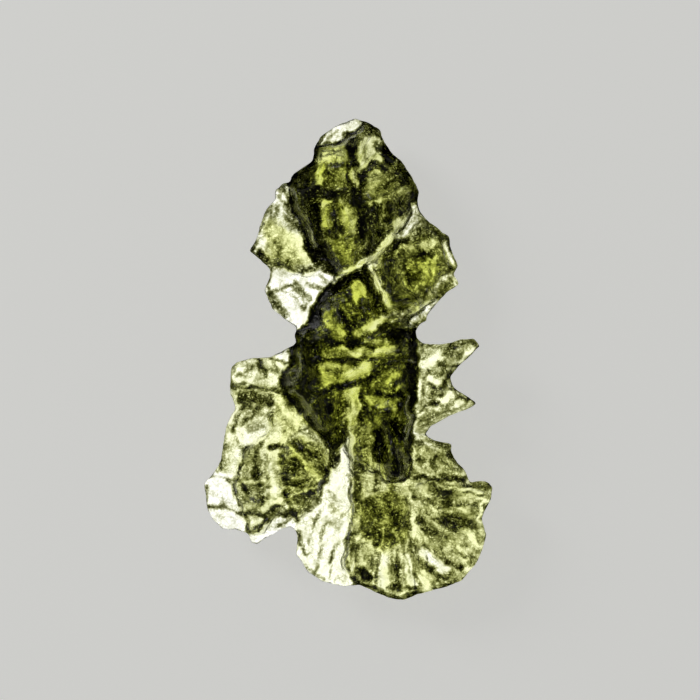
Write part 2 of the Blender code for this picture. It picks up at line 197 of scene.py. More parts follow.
def upperLeftWing():
    return [
        ledge([(240, 175), (345, 160), (345, 275), (300, 335), (240, 330)], 1.0, 10),
        stroke([(296, 240), (300, 258), (306, 262)], 12, 1.25, 16),
        stroke([(290, 276), (330, 276), (300, 300), (290, 315), (304, 322)], 13, 0.7, 14),
        stroke([(255, 248), (300, 270), (335, 264)], 4, 2.1, 10),
        stroke([(284, 220), (302, 228)], 5, 1.9, 10),
    ]


def upperRightWing():
    return [
        ledge([(378, 205), (425, 195), (470, 230), (475, 330), (410, 330), (378, 310)], 2.6, 8),
        stroke([(412, 206), (416, 216), (408, 226), (398, 235)], 6, 1.0, 9),
        stroke([(396, 260), (430, 262)], 12, 3.2, 14),
        stroke([(388, 266), (392, 294)], 8, 4.8, 13),
        stroke([(425, 264), (432, 290)], 7, 3.1, 8),
        stroke([(390, 299), (414, 303)], 5, 6.6, 9),
        stroke([(444, 242), (452, 260)], 3, 1.0, 5),
        stroke([(434, 290), (452, 272)], 5, 1.3, 6),
        stroke([(412, 324), (440, 298)], 6, 0.8, 8),
    ]


def spikes():
    return [
        ledge([(406, 325), (490, 325), (490, 445), (406, 448)], 1.05, 8),
        stroke([(424, 362), (438, 350)], 7, 0.7, 12),
        stroke([(440, 350), (472, 345)], 3, 1.7, 8),
        stroke([(444, 364), (446, 386)], 4, 2.2, 8),
        stroke([(428, 389), (468, 403)], 3, 1.6, 8),
        stroke([(420, 424), (440, 414)], 5, 1.6, 9),
    ]


def lowerLeftLobe():
    return [
        ledge([(195, 350), (300, 340), (345, 440), (325, 500), (290, 530), (195, 560)], 1.35, 8),
        stroke([(232, 374), (250, 368)], 9, 0.9, 12),
        stroke([(231, 389), (262, 388), (280, 393)], 2, 2.6, 5),
        stroke([(240, 396), (256, 400)], 7, 2.2, 10),
        stroke([(262, 428), (248, 438), (240, 456), (232, 474)], 6, 0.6, 8),
        stroke([(273, 415), (275, 428), (266, 440), (250, 450)], 2, 2.8, 5),
        ledge(
            [(243, 450), (258, 447), (276, 440), (300, 432), (328, 446), (334, 460), (328, 484),
             (312, 500), (296, 520), (290, 512), (276, 508), (270, 520), (262, 533), (246, 531),
             (241, 508), (233, 492), (236, 470)],
            1.9, 9,
        ),
        # ribs of the raised plate
        stroke([(268, 452), (272, 480), (272, 505)], 6, 1.5, 10),
        stroke([(296, 460), (305, 485)], 14, 2.8, 18),
        stroke([(300, 440), (312, 452), (326, 464)], 2, 3.4, 8),
        stroke([(292, 468), (284, 474), (286, 488)], 2, 3.0, 8),
        # the thin tip
        ledge([(195, 472), (214, 470), (232, 474), (236, 500), (243, 515), (246, 535), (195, 540)], 0.6, 5),
        stroke([(208, 507), (226, 509), (240, 516)], 2, 1.4, 5),
        ledge(
            [(246, 534), (262, 534), (272, 519), (280, 512), (292, 516), (296, 530), (262, 550),
             (246, 548)],
            0.6, 5,
        ),
    ]


def fan():
    return [
        ledge(
            [(353, 440), (405, 440), (452, 436), (510, 470), (500, 610), (380, 615), (357, 590),
             (350, 581), (343, 566), (347, 545), (352, 520)],
            1.8, 9,
        ),
        ledge(
            [(343, 428), (352, 428), (354, 480), (352, 520), (347, 545), (343, 566), (352, 582),
             (358, 590), (335, 600), (290, 590), (290, 528), (300, 515), (318, 492), (328, 470),
             (334, 452)],
            0.65, 6,
        ),
        # the oval and the plates
        stroke([(358, 488), (356, 520)], 4, 2.5, 9),
        ledge(
            [(361, 505), (385, 497), (406, 505), (408, 528), (400, 543), (386, 548), (372, 543),
             (362, 530)],
            2.7, 14,
        ),
        stroke([(432, 488), (456, 490)], 7, 2.6, 12),
        ledge([(440, 508), (448, 506), (468, 512), (474, 522), (473, 530), (448, 530), (443, 520)], 2.7, 9),
        stroke([(470, 484), (488, 488), (490, 498)], 5, 1.5, 7),
        stroke([(412, 458), (424, 472)], 8, 1.3, 14),
        stroke([(414, 500), (414, 530)], 5, 1.2, 10),
    ]


def head():
    return [
        ledge(
            [(312, 160), (306, 164), (293, 172), (288, 180), (291, 195), (296, 210), (303, 225),
             (307, 240), (313, 254), (328, 264), (341, 277), (352, 272), (362, 269), (378, 256),
             (391, 240), (394, 232), (405, 220), (411, 208), (424, 196), (424, 170), (395, 140),
             (385, 110), (350, 110), (325, 120), (308, 145)],
            6.2, 36, 12,
        ),
        # hollows and ridges down the left side
        stroke([(323, 156), (335, 156)], 8, 2.4, 12),
        stroke([(320, 170), (331, 184)], 6, 3.4, 11),
        stroke([(308, 196), (326, 197)], 5, 9.2, 11),
        stroke([(300, 176), (300, 200), (310, 226), (316, 246)], 5, 8.6, 9),
        stroke([(326, 206), (326, 224)], 6, 3.4, 11),
        stroke([(343, 205), (348, 230)], 6, 3.2, 11),
        stroke([(338, 242), (346, 260)], 9, 3.8, 12),
        # the streak and the hollows of the right side
        stroke([(370, 140), (368, 152), (362, 164)], 6, 1.2, 11),
        stroke([(355, 170), (354, 184)], 3, 2.2, 9),
        stroke([(366, 190), (390, 180)], 4, 2.2, 9),
        stroke([(383, 200), (402, 193)], 3, 2.8, 8),
        stroke([(382, 206), (382, 232)], 2, 3.2, 8),
        # ridges between them
        stroke([(391, 206), (388, 228)], 3, 8.2, 9),
        stroke([(375, 210), (372, 232), (374, 248)], 3, 8.4, 9),
        stroke([(352, 142), (351, 160)], 2, 7.6, 8),
        stroke([(347, 176), (350, 212)], 2, 7.6, 8),
        stroke([(360, 174), (372, 168), (384, 172)], 3, 8.0, 8),
        stroke([(388, 142), (394, 166), (408, 184)], 8, 8.8, 12),
    ]


def headFacet():  # a thin chipped edge beside the tip
    return [
        ledge(
            [(312, 140), (330, 120), (345, 108), (366, 108), (364, 124), (357, 134), (345, 142),
             (334, 147), (318, 148)],
            1.2, 9,
        ),
    ]


def trunkFoot():  # where the trunk thins out into the fan
    return [
        ledge([(345, 405), (392, 405), (390, 462), (358, 464), (348, 440)], 3.6, 34),
    ]


def trunk():
    return [
        ledge(
            [(341, 279), (333, 283), (320, 296), (312, 314), (302, 328), (294, 331), (292, 338),
             (296, 346), (290, 361), (282, 376), (281, 388), (291, 400), (307, 420), (324, 437),
             (338, 452), (343, 436), (352, 424), (382, 424), (386, 468), (389, 479), (395, 481),
             (402, 478), (407, 455), (411, 425), (415, 395), (416, 370), (418, 347), (417, 335),
             (411, 328), (394, 318), (386, 308), (375, 286), (370, 270), (362, 270), (352, 274)],
            6.2, 36, 12,
        ),
        # cells above the folds
        stroke([(352, 288), (358, 298)], 7, 3.2, 12),
        stroke([(329, 308), (328, 328)], 4, 3.8, 11),
        stroke([(336, 328), (343, 334)], 4, 3.6, 9),
        stroke([(336, 310), (350, 328)], 3, 7.8, 9),
        stroke([(371, 302), (372, 310)], 4, 8.6, 9),
        # the folds and the creases between them
        stroke([(364, 330), (378, 322), (396, 319)], 4, 2.6, 11),
        stroke([(382, 333), (396, 329), (410, 331)], 3, 7.0, 9),
        stroke([(340, 352), (396, 350)], 4, 2.8, 11),
        stroke([(318, 341), (372, 342)], 2, 7.0, 8),
        stroke([(318, 360), (412, 362)], 2, 7.8, 7),
        stroke([(322, 369), (345, 372), (368, 366)], 5, 2.8, 11),
        stroke([(320, 396), (332, 390), (352, 384), (368, 377), (376, 370)], 3, 8.4, 9),
        # the thick left side
        stroke([(300, 340), (302, 356)], 6, 9.4, 11),
        stroke([(304, 370), (302, 392), (314, 402)], 9, 9.8, 12),
        stroke([(320, 410), (326, 424)], 5, 7.8, 11),
        # the strip, the cells and the ridges of the leg
        stroke([(346, 398), (350, 424)], 5, 3.0, 11),
        stroke([(384, 382), (396, 372)], 4, 3.8, 9),
        stroke([(368, 402), (390, 404)], 6, 3.8, 11),
        stroke([(362, 440), (368, 458)], 8, 3.6, 15),
        stroke([(386, 420), (392, 440), (396, 470)], 8, 8.8, 12),
        stroke([(406, 400), (405, 440)], 4, 9.2, 8),
    ]


def deepGrooves():
    return [
        stroke(
            [(338, 277), (352, 270), (366, 265), (376, 258), (384, 250), (389, 242), (390, 236)],
            2, 3.6, 7,
        ),
        stroke([(372, 270), (378, 286), (383, 300), (387, 309)], 2, 3.6, 7),
    ]


# Tones are painted shade, drawn over the thicknesses and put into the glass's colour: each says how dark its
# place looks against the light, as a power of e, from 0 (white) to about 6 (black), in place of the shade
# that thick glass and its steep, refracting skin give. A patch is closed, and a mark is a line.
# Where a tint is given, it sets how green the place is, from 0 (white) to about 1.
def patch(points, tone, edge=4, tint=None, grow=0):
    return drawnForm(points, True, grow, edge, tone=tone, tint=tint)


def mark(points, halfWidth, tone, edge=4, tint=None):
    return drawnForm(points, False, halfWidth, edge, tone=tone, tint=tint)


def upperLeftWingTones():
    return [
        patch([(250, 180), (345, 180), (345, 275), (300, 335), (250, 330)], 0.4, 8, 0.0),
        # a faint green in the upper half, and shadow beside the head
        patch([(262, 222), (280, 222), (304, 244), (314, 264), (290, 268), (268, 262)], 0.6, 9, 0.45),
        patch([(282, 198), (296, 200), (306, 226), (300, 236), (286, 226)], 1.6, 7, 0.0),
        mark([(288, 206), (293, 220), (302, 230)], 3, 2.6, 5),
        mark([(266, 202), (262, 222), (256, 242)], 3, 1.6, 5),
        mark([(272, 206), (270, 222), (262, 240)], 2, 1.3),
        mark([(275, 187), (286, 191)], 3, 1.8),
        mark([(279, 196), (277, 222)], 2, 1.5, 5),
        mark([(292, 198), (300, 216)], 2, 0.3),
        mark([(278, 240), (280, 262)], 3, 1.3, 5),
        mark([(254, 246), (262, 258), (270, 268)], 4, 2.4, 5),
        mark([(266, 240), (258, 250)], 2, 0.2),
        # the fold between the two halves
        mark([(272, 262), (290, 267), (301, 273), (314, 268), (330, 268)], 3, 2.3, 5),
        mark([(290, 262), (304, 268)], 4, 2.0, 6),
        mark([(297, 240), (302, 252), (308, 260)], 6, 0.25, 7, 0.35),
        # creases of the lower half
        mark([(268, 291), (280, 289), (294, 285)], 1, 2.0),
        mark([(296, 284), (302, 292), (308, 302)], 3, 2.0, 5),
        mark([(286, 292), (298, 302)], 1, 1.4),
        mark([(299, 306), (306, 308)], 2, 2.1),
        mark([(308, 286), (320, 290)], 2, 2.0, 5),
        mark([(322, 276), (328, 282)], 2, 1.4, 5),
        mark([(270, 295), (276, 306), (284, 314)], 4, 2.2, 6),
        mark([(274, 280), (290, 279)], 4, 0.0, 5),
        mark([(285, 298), (300, 314), (304, 318)], 5, 0.0, 6),
        mark([(310, 280), (318, 277)], 3, 0.1),
        mark([(266, 272), (268, 286)], 2, 1.8),
    ]


def upperRightWingTones():
    return [
        patch([(388, 205), (425, 195), (470, 230), (475, 330), (410, 330), (378, 310), (378, 265)],
              2.5, 7, 0.5),
        # the pale strip along the head
        patch([(408, 204), (422, 204), (430, 220), (424, 234), (404, 240), (396, 236)], 1.8, 6, 0.0),
        mark([(411, 206), (415, 220)], 3, 0.8, 4, 0.0),
        mark([(410, 224), (404, 232), (396, 238)], 2, 0.5, 4, 0.0),
        mark([(428, 224), (414, 238), (394, 242)], 3, 3.4, 6, 0.2),
        mark([(428, 230), (446, 242)], 5, 3.0, 6, 0.1),
        mark([(437, 229), (448, 234)], 1, 1.7, 3, 0.0),
        # light spots above the glow, and the bright right edge
        mark([(395, 248), (402, 245), (409, 247)], 4, 0.8, 5, 0.4),
        mark([(423, 248), (432, 243)], 4, 0.9, 5, 0.3),
        mark([(424, 253), (431, 252)], 2, 3.4),
        mark([(445, 243), (449, 254), (455, 264)], 3, 0.7, 4, 0.0),
        mark([(440, 246), (444, 262), (452, 270)], 1, 3.2),
        # the yellow glow, with dark ripples across it
        patch([(399, 272), (410, 262), (420, 260), (424, 286), (412, 298), (400, 294)], 2.0, 6, 0.9),
        patch([(418, 264), (428, 256), (436, 257), (440, 266), (437, 280), (430, 287), (420, 281)],
              1.4, 6, 1.0),
        mark([(423, 266), (425, 282)], 2, 0.9, 5, 1.0),
        mark([(433, 259), (434, 280)], 2, 0.7, 5, 1.0),
        mark([(428, 262), (429, 284)], 1, 2.2, 3),
        mark([(405, 274), (404, 290)], 2, 1.2, 5, 0.9),
        mark([(417, 272), (415, 290)], 2, 1.4, 5, 0.8),
        mark([(411, 272), (410, 286)], 1, 3.0, 3),
        mark([(398, 268), (397, 292)], 1, 3.2),
        mark([(421, 286), (418, 296)], 1, 3.2),
        # the dark side along the groove
        mark([(390, 262), (391, 282)], 4, 2.9, 6),
        mark([(383, 268), (391, 266)], 1, 3.7),
        mark([(394, 298), (404, 302), (412, 300)], 4, 4.2, 5),
        mark([(378, 312), (392, 312), (400, 309)], 3, 4.0, 5),
        # the pale facet and the lower edge
        mark([(432, 292), (440, 284), (449, 277)], 4, 0.9, 5, 0.0),
        mark([(444, 283), (446, 291)], 1, 3.2),
        mark([(449, 280), (452, 288)], 1, 2.6),
        mark([(454, 279), (458, 286)], 2, 0.6, 4, 0.0),
        patch([(410, 312), (420, 302), (434, 296), (442, 299), (430, 312), (420, 321), (410, 320)],
              1.0, 6, 0.05),
        mark([(416, 314), (426, 304)], 3, 0.3, 5, 0.0),
        mark([(418, 300), (410, 308)], 1, 2.6),
        mark([(402, 326), (409, 318), (412, 312)], 3, 1.4, 5, 0.0),
        mark([(413, 324), (417, 338)], 3, 0.9, 4, 0.0),
    ]


def spikeTones():
    return [
        patch([(412, 335), (490, 325), (490, 440), (408, 448)], 1.15, 6, 0.2),
        # the upper spike
        mark([(425, 365), (440, 352)], 5, 0.0, 5),
        mark([(418, 343), (440, 346), (462, 342)], 2, 1.9),
        mark([(450, 345), (475, 341)], 3, 2.6),
        mark([(474, 346), (478, 350)], 2, 2.6),
        mark([(446, 352), (459, 354)], 4, 1.7),
        mark([(459, 362), (467, 352), (474, 351)], 2, 0.3),
        # between the spikes
        mark([(441, 365), (446, 376), (443, 385)], 4, 3.1),
        mark([(447, 366), (456, 366)], 1, 2.9),
        mark([(427, 372), (437, 374)], 3, 2.2),
        mark([(430, 380), (436, 384)], 4, 0.2),
        mark([(424, 374), (422, 392), (428, 400)], 1, 2.4),
        mark([(418, 382), (417, 396)], 3, 0.2),
        # the lower spike
        mark([(429, 387), (441, 391), (430, 396)], 2, 2.9),
        mark([(438, 400), (452, 395)], 4, 0.1),
        mark([(458, 404), (463, 401)], 3, 0.1),
        mark([(466, 407), (470, 402)], 2, 0.5),
        mark([(454, 389), (464, 396), (474, 401)], 2, 2.6),
        mark([(436, 400), (435, 407)], 1, 1.9),
        mark([(430, 410), (437, 408)], 2, 0.3),
        mark([(420, 414), (423, 410)], 2, 0.2),
        mark([(428, 419), (442, 413), (456, 408)], 1, 2.3),
        mark([(415, 424), (425, 422)], 4, 1.6),
        mark([(412, 434), (422, 440)], 4, 0.9, 4, 0.0),
        mark([(414, 416), (424, 408), (438, 402)], 1, 2.2),
    ]


def lowerLeftLobeTones():
    return [
        patch([(195, 350), (300, 340), (345, 440), (325, 500), (290, 530), (195, 560)], 0.8, 6),
        # the top of the lobe
        patch([(276, 346), (296, 342), (297, 350), (290, 361), (276, 358)], 0.35, 3, 0.0),
        mark([(272, 359), (288, 361)], 1, 2.8),
        mark([(233, 363), (231, 385)], 2, 1.8),
        mark([(240, 370), (252, 372), (248, 383), (238, 380)], 4, 0.3, 6),
        mark([(238, 376), (252, 366)], 1, 1.6),
        mark([(234, 386), (243, 384)], 2, 2.4),
        mark([(258, 361), (262, 370), (266, 376)], 3, 2.9, 5),
        mark([(270, 364), (282, 366)], 3, 0.2),
        mark([(274, 362), (277, 374)], 1, 1.9),
        mark([(268, 378), (278, 386)], 4, 0.3, 5),
        # the crease across it, and the dark patch below
        mark([(232, 388), (246, 389), (262, 389), (286, 394)], 1, 3.2),
        mark([(262, 388), (274, 390)], 2, 2.6),
        patch([(240, 393), (262, 392), (274, 396), (270, 406), (256, 410), (244, 412)], 2.2, 6),
        mark([(248, 395), (258, 399), (268, 404)], 3, 3.0, 5),
        mark([(240, 394), (242, 406), (237, 420), (233, 432)], 2, 2.5),
        mark([(231, 391), (236, 402), (235, 413), (229, 420)], 1, 0.3),
        mark([(246, 411), (252, 405)], 2, 0.6),
        mark([(260, 404), (250, 418), (243, 425)], 1, 2.2),
        # the pale bulge beside the column
        patch([(273, 393), (286, 394), (291, 405), (304, 416), (307, 422), (298, 430), (289, 441),
               (275, 449), (274, 430)], 0.65, 4, 0.45),
        mark([(280, 400), (284, 412), (280, 426)], 2, 0.2, 5),
        mark([(290, 413), (300, 421)], 4, 0.2, 5),
        mark([(286, 398), (290, 408)], 1, 1.6),
        mark([(304, 420), (296, 432), (290, 441)], 1, 2.2),
        mark([(271, 413), (275, 424), (272, 432), (264, 441), (258, 447), (245, 450)], 2, 2.7),
        mark([(240, 431), (248, 440), (262, 436)], 6, 0.0, 6),
        mark([(230, 440), (236, 460), (228, 472)], 5, 0.3, 6),
        mark([(222, 448), (220, 468)], 2, 2.2),
        # the raised plate: its left side
        patch([(243, 452), (258, 449), (262, 500), (262, 533), (245, 533), (240, 505), (233, 490),
               (238, 470)],
              1.3),
        mark([(243, 452), (239, 470), (233, 489), (241, 501), (244, 520), (246, 533)], 1, 3.0),
        mark([(244, 458), (242, 476), (247, 490)], 1, 0.6),
        mark([(257, 452), (258, 478), (262, 500)], 3, 2.7, 5),
        mark([(250, 466), (251, 482)], 2, 0.8),
        mark([(243, 484), (250, 494), (256, 504)], 2, 2.5),
        mark([(251, 502), (262, 508)], 1, 1.0),
        # its bright rib
        mark([(277, 428), (272, 444), (272, 458), (273, 480), (276, 504)], 6, 0.45, 4, 0.3),
        mark([(271, 462), (274, 492)], 2, 0.1, 4, 0.1),
        mark([(265, 454), (266, 480), (268, 500)], 1, 1.8),
        # its dark right side, with yellow streaks
        patch([(280, 447), (300, 434), (330, 450), (334, 462), (327, 484), (312, 500), (296, 520),
               (288, 510), (282, 480)], 1.9, 4, 0.4),
        mark([(272, 448), (282, 446), (287, 452)], 3, 3.5),
        mark([(283, 456), (285, 478), (290, 500)], 3, 2.9, 5, 0.7),
        mark([(290, 464), (298, 480), (306, 484)], 4, 2.9, 5, 0.6),
        mark([(290, 447), (297, 459), (308, 468), (322, 478)], 3, 0.9, 4, 0.9),
        mark([(297, 452), (303, 463)], 1, 0.3, 4, 0.6),
        mark([(296, 442), (310, 452), (324, 466), (330, 474)], 3, 3.7, 5, 0.7),
        mark([(312, 474), (322, 482)], 3, 0.8, 5, 0.6),
        mark([(294, 488), (304, 492), (312, 486)], 3, 1.1, 4, 0.5),
        mark([(298, 484), (308, 496)], 1, 2.8),
        mark([(302, 440), (312, 444)], 1, 3.6),
        mark([(308, 428), (318, 438), (328, 454)], 4, 1.4, 5),
        mark([(326, 446), (334, 456)], 2, 0.8),
        mark([(332, 458), (328, 478), (318, 492)], 2, 4.0),
        mark([(310, 488), (314, 502)], 2, 3.0),
        mark([(292, 500), (300, 508), (310, 506)], 3, 0.8, 5),
        mark([(289, 504), (292, 516), (298, 524)], 1, 3.2),
        mark([(306, 512), (314, 518)], 3, 1.6),
        mark([(258, 529), (266, 516), (276, 509), (286, 512)], 4, 2.9),
        mark([(249, 512), (258, 515)], 3, 3.0),
        mark([(250, 524), (260, 522)], 3, 0.5),
        mark([(249, 532), (262, 532)], 2, 2.3, 3),
        # the white tip and the white lower edge
        patch([(195, 476), (222, 470), (231, 476), (229, 492), (238, 502), (241, 520), (244, 534),
               (195, 540)],
              0.0, 3, 0.0),
        mark([(206, 505), (222, 508), (235, 513), (242, 519)], 2, 1.3),
        mark([(227, 477), (229, 482)], 2, 1.5),
        mark([(205, 486), (205, 506)], 1, 1.2),
        mark([(210, 480), (216, 477)], 1, 1.4),
        patch([(247, 535), (262, 535), (272, 520), (282, 515), (292, 518), (296, 528), (262, 550),
               (246, 548)],
              0.1, 3, 0.0),
        mark([(278, 526), (290, 520)], 3, 0.9),
    ]


def fanTones():
    return [
        # the green part and the white wedge
        patch([(349, 432), (405, 440), (460, 436), (510, 470), (500, 610), (380, 615), (357, 590),
               (350, 581), (343, 566), (347, 545), (352, 520)], 1.3, 4, 0.32),
        patch([(343, 432), (349, 432), (350, 480), (352, 520), (347, 545), (343, 566), (352, 584),
               (335, 600), (290, 590), (292, 530), (318, 505), (328, 480), (334, 458)], 0.1, 4, 0.1),
        mark([(337, 447), (335, 463)], 1, 0.0, 3),
        mark([(340, 448), (337, 464)], 1, 3.6, 3),
        mark([(350, 462), (352, 480), (352, 492)], 2, 0.2, 3, 0.0),
        mark([(349, 474), (350, 500), (353, 516), (347, 545), (344, 566)], 1, 2.6, 3),
        mark([(331, 508), (345, 514)], 4, 0.6, 6, 0.2),
        mark([(322, 512), (312, 530), (309, 545)], 1, 1.2),
        mark([(333, 515), (322, 535), (317, 570)], 1, 1.1),
        mark([(337, 546), (331, 562), (327, 580)], 1, 1.5),
        mark([(341, 530), (338, 545)], 1, 0.6),
        mark([(297, 534), (299, 546), (305, 553)], 2, 2.0),
        mark([(306, 568), (322, 580)], 1, 1.4),
        mark([(328, 490), (336, 502)], 2, 0.7),
        mark([(347, 568), (352, 577), (358, 585), (374, 591)], 2, 4.2),
        mark([(345, 577), (351, 584)], 2, 0.6),
        # where the column thins out into the fan
        mark([(358, 446), (362, 466)], 5, 2.2, 6, 0.6),
        mark([(356, 478), (358, 512)], 4, 2.7, 5, 0.5),
        mark([(368, 468), (372, 482), (370, 496)], 4, 0.8, 5),
        mark([(382, 466), (384, 486)], 3, 0.8, 5),
        mark([(376, 470), (376, 492)], 1, 2.6),
        mark([(390, 486), (396, 504)], 3, 1.8, 5, 0.7),
        # the dark oval in the middle
        patch([(359, 502), (372, 498), (390, 494), (405, 500), (408, 520), (404, 538), (394, 548),
               (380, 547), (366, 538), (360, 522)],
              2.3, 6, 0.7),
        mark([(364, 534), (374, 543), (387, 547), (400, 543)], 1, 3.3),
        mark([(364, 504), (370, 522), (376, 532)], 3, 3.1, 5),
        mark([(396, 512), (399, 528)], 4, 3.2, 5),
        mark([(380, 502), (386, 520)], 2, 1.6, 5),
        mark([(390, 532), (397, 534)], 2, 1.5),
        mark([(406, 488), (413, 505), (413, 535)], 4, 0.7, 5),
        mark([(408, 498), (409, 530)], 1, 2.4),
        # the upper right part
        mark([(410, 441), (422, 444)], 3, 2.6, 5, 0.0),
        patch([(411, 452), (428, 450), (432, 462), (428, 474), (414, 474)], 0.8, 6),
        mark([(416, 458), (426, 462)], 1, 2.6),
        mark([(413, 468), (420, 474)], 1, 2.4),
        mark([(426, 443), (434, 450)], 2, 0.7, 4, 0.0),
        mark([(438, 446), (450, 448)], 3, 2.0, 4, 0.0),
        mark([(450, 455), (457, 467)], 3, 3.0, 4, 0.0),
        mark([(460, 478), (466, 487)], 2, 3.4, 4, 0.0),
        mark([(455, 466), (463, 473)], 1, 0.9, 3, 0.0),
        mark([(444, 452), (443, 468)], 3, 1.4),
        mark([(436, 456), (434, 470)], 2, 3.0),
        # the right side, with its dark plate
        mark([(406, 478), (420, 476), (440, 479), (466, 478)], 2, 3.3),
        mark([(430, 473), (440, 474)], 2, 1.0),
        mark([(408, 484), (424, 490), (430, 497)], 4, 0.7, 5),
        mark([(431, 486), (444, 491), (447, 501)], 4, 3.0, 6),
        mark([(415, 497), (428, 503)], 2, 2.8),
        mark([(420, 502), (434, 510), (448, 518)], 4, 0.6, 5),
        mark([(428, 498), (440, 508)], 1, 2.4),
        mark([(473, 486), (488, 487)], 4, 1.9),
        mark([(462, 492), (482, 491)], 2, 0.7),
        mark([(454, 496), (470, 493), (486, 498)], 1, 2.6),
        mark([(456, 503), (480, 499)], 1, 1.2),
        mark([(450, 506), (474, 506)], 1, 2.4),
        mark([(458, 508), (468, 508)], 2, 0.9),
        patch([(440, 511), (450, 512), (473, 519), (473, 529), (452, 530), (444, 522)], 3.2, 6),
        mark([(477, 522), (481, 508), (488, 500)], 2, 0.4, 3),
        mark([(476, 533), (481, 543)], 2, 2.6),
        # the lower right part
        mark([(420, 520), (428, 530), (438, 534)], 4, 2.5, 5),
        mark([(430, 518), (442, 530), (450, 534)], 2, 0.7),
        mark([(440, 536), (449, 544), (458, 547)], 2, 2.6),
        patch([(448, 536), (462, 531), (474, 534), (476, 548), (468, 562), (456, 562), (446, 550)], 0.75, 6),
        mark([(454, 550), (462, 558), (472, 556)], 1, 2.6),
        mark([(464, 536), (468, 548)], 1, 2.0),
        mark([(448, 560), (458, 570), (466, 567)], 2, 2.4),
        mark([(456, 572), (464, 574)], 2, 0.6),
        mark([(424, 554), (434, 560), (446, 570)], 4, 0.1, 5, 0.0),
        mark([(420, 560), (434, 572), (446, 581)], 2, 2.7),
        mark([(416, 542), (430, 548), (440, 554)], 1, 2.2),
        # the flutes along the lip
        mark([(355, 536), (366, 541), (378, 550)], 3, 0.7, 5),
        mark([(352, 548), (366, 556), (376, 562)], 3, 1.7, 5),
        mark([(348, 556), (356, 566), (362, 566)], 2, 0.8),
        mark([(383, 558), (383, 588)], 3, 0.1, 5, 0.0),
        mark([(391, 556), (392, 584)], 1, 1.0),
        mark([(407, 558), (412, 582)], 4, 0.35, 5, 0.1),
        mark([(425, 572), (426, 587)], 3, 0.3, 5),
        mark([(397, 552), (399, 585)], 2, 2.2),
        mark([(417, 560), (419, 586)], 1, 2.3),
        mark([(374, 560), (375, 584)], 1, 2.3),
        mark([(388, 586), (402, 591), (416, 587)], 2, 3.4),
        mark([(378, 597), (400, 601), (420, 594)], 3, 3.6),
        mark([(360, 570), (369, 578)], 4, 3.4),
        mark([(362, 584), (369, 587)], 2, 1.0),
        mark([(434, 586), (448, 582), (460, 574)], 2, 0.8),
        mark([(436, 592), (452, 588), (466, 578)], 2, 2.8),
    ]


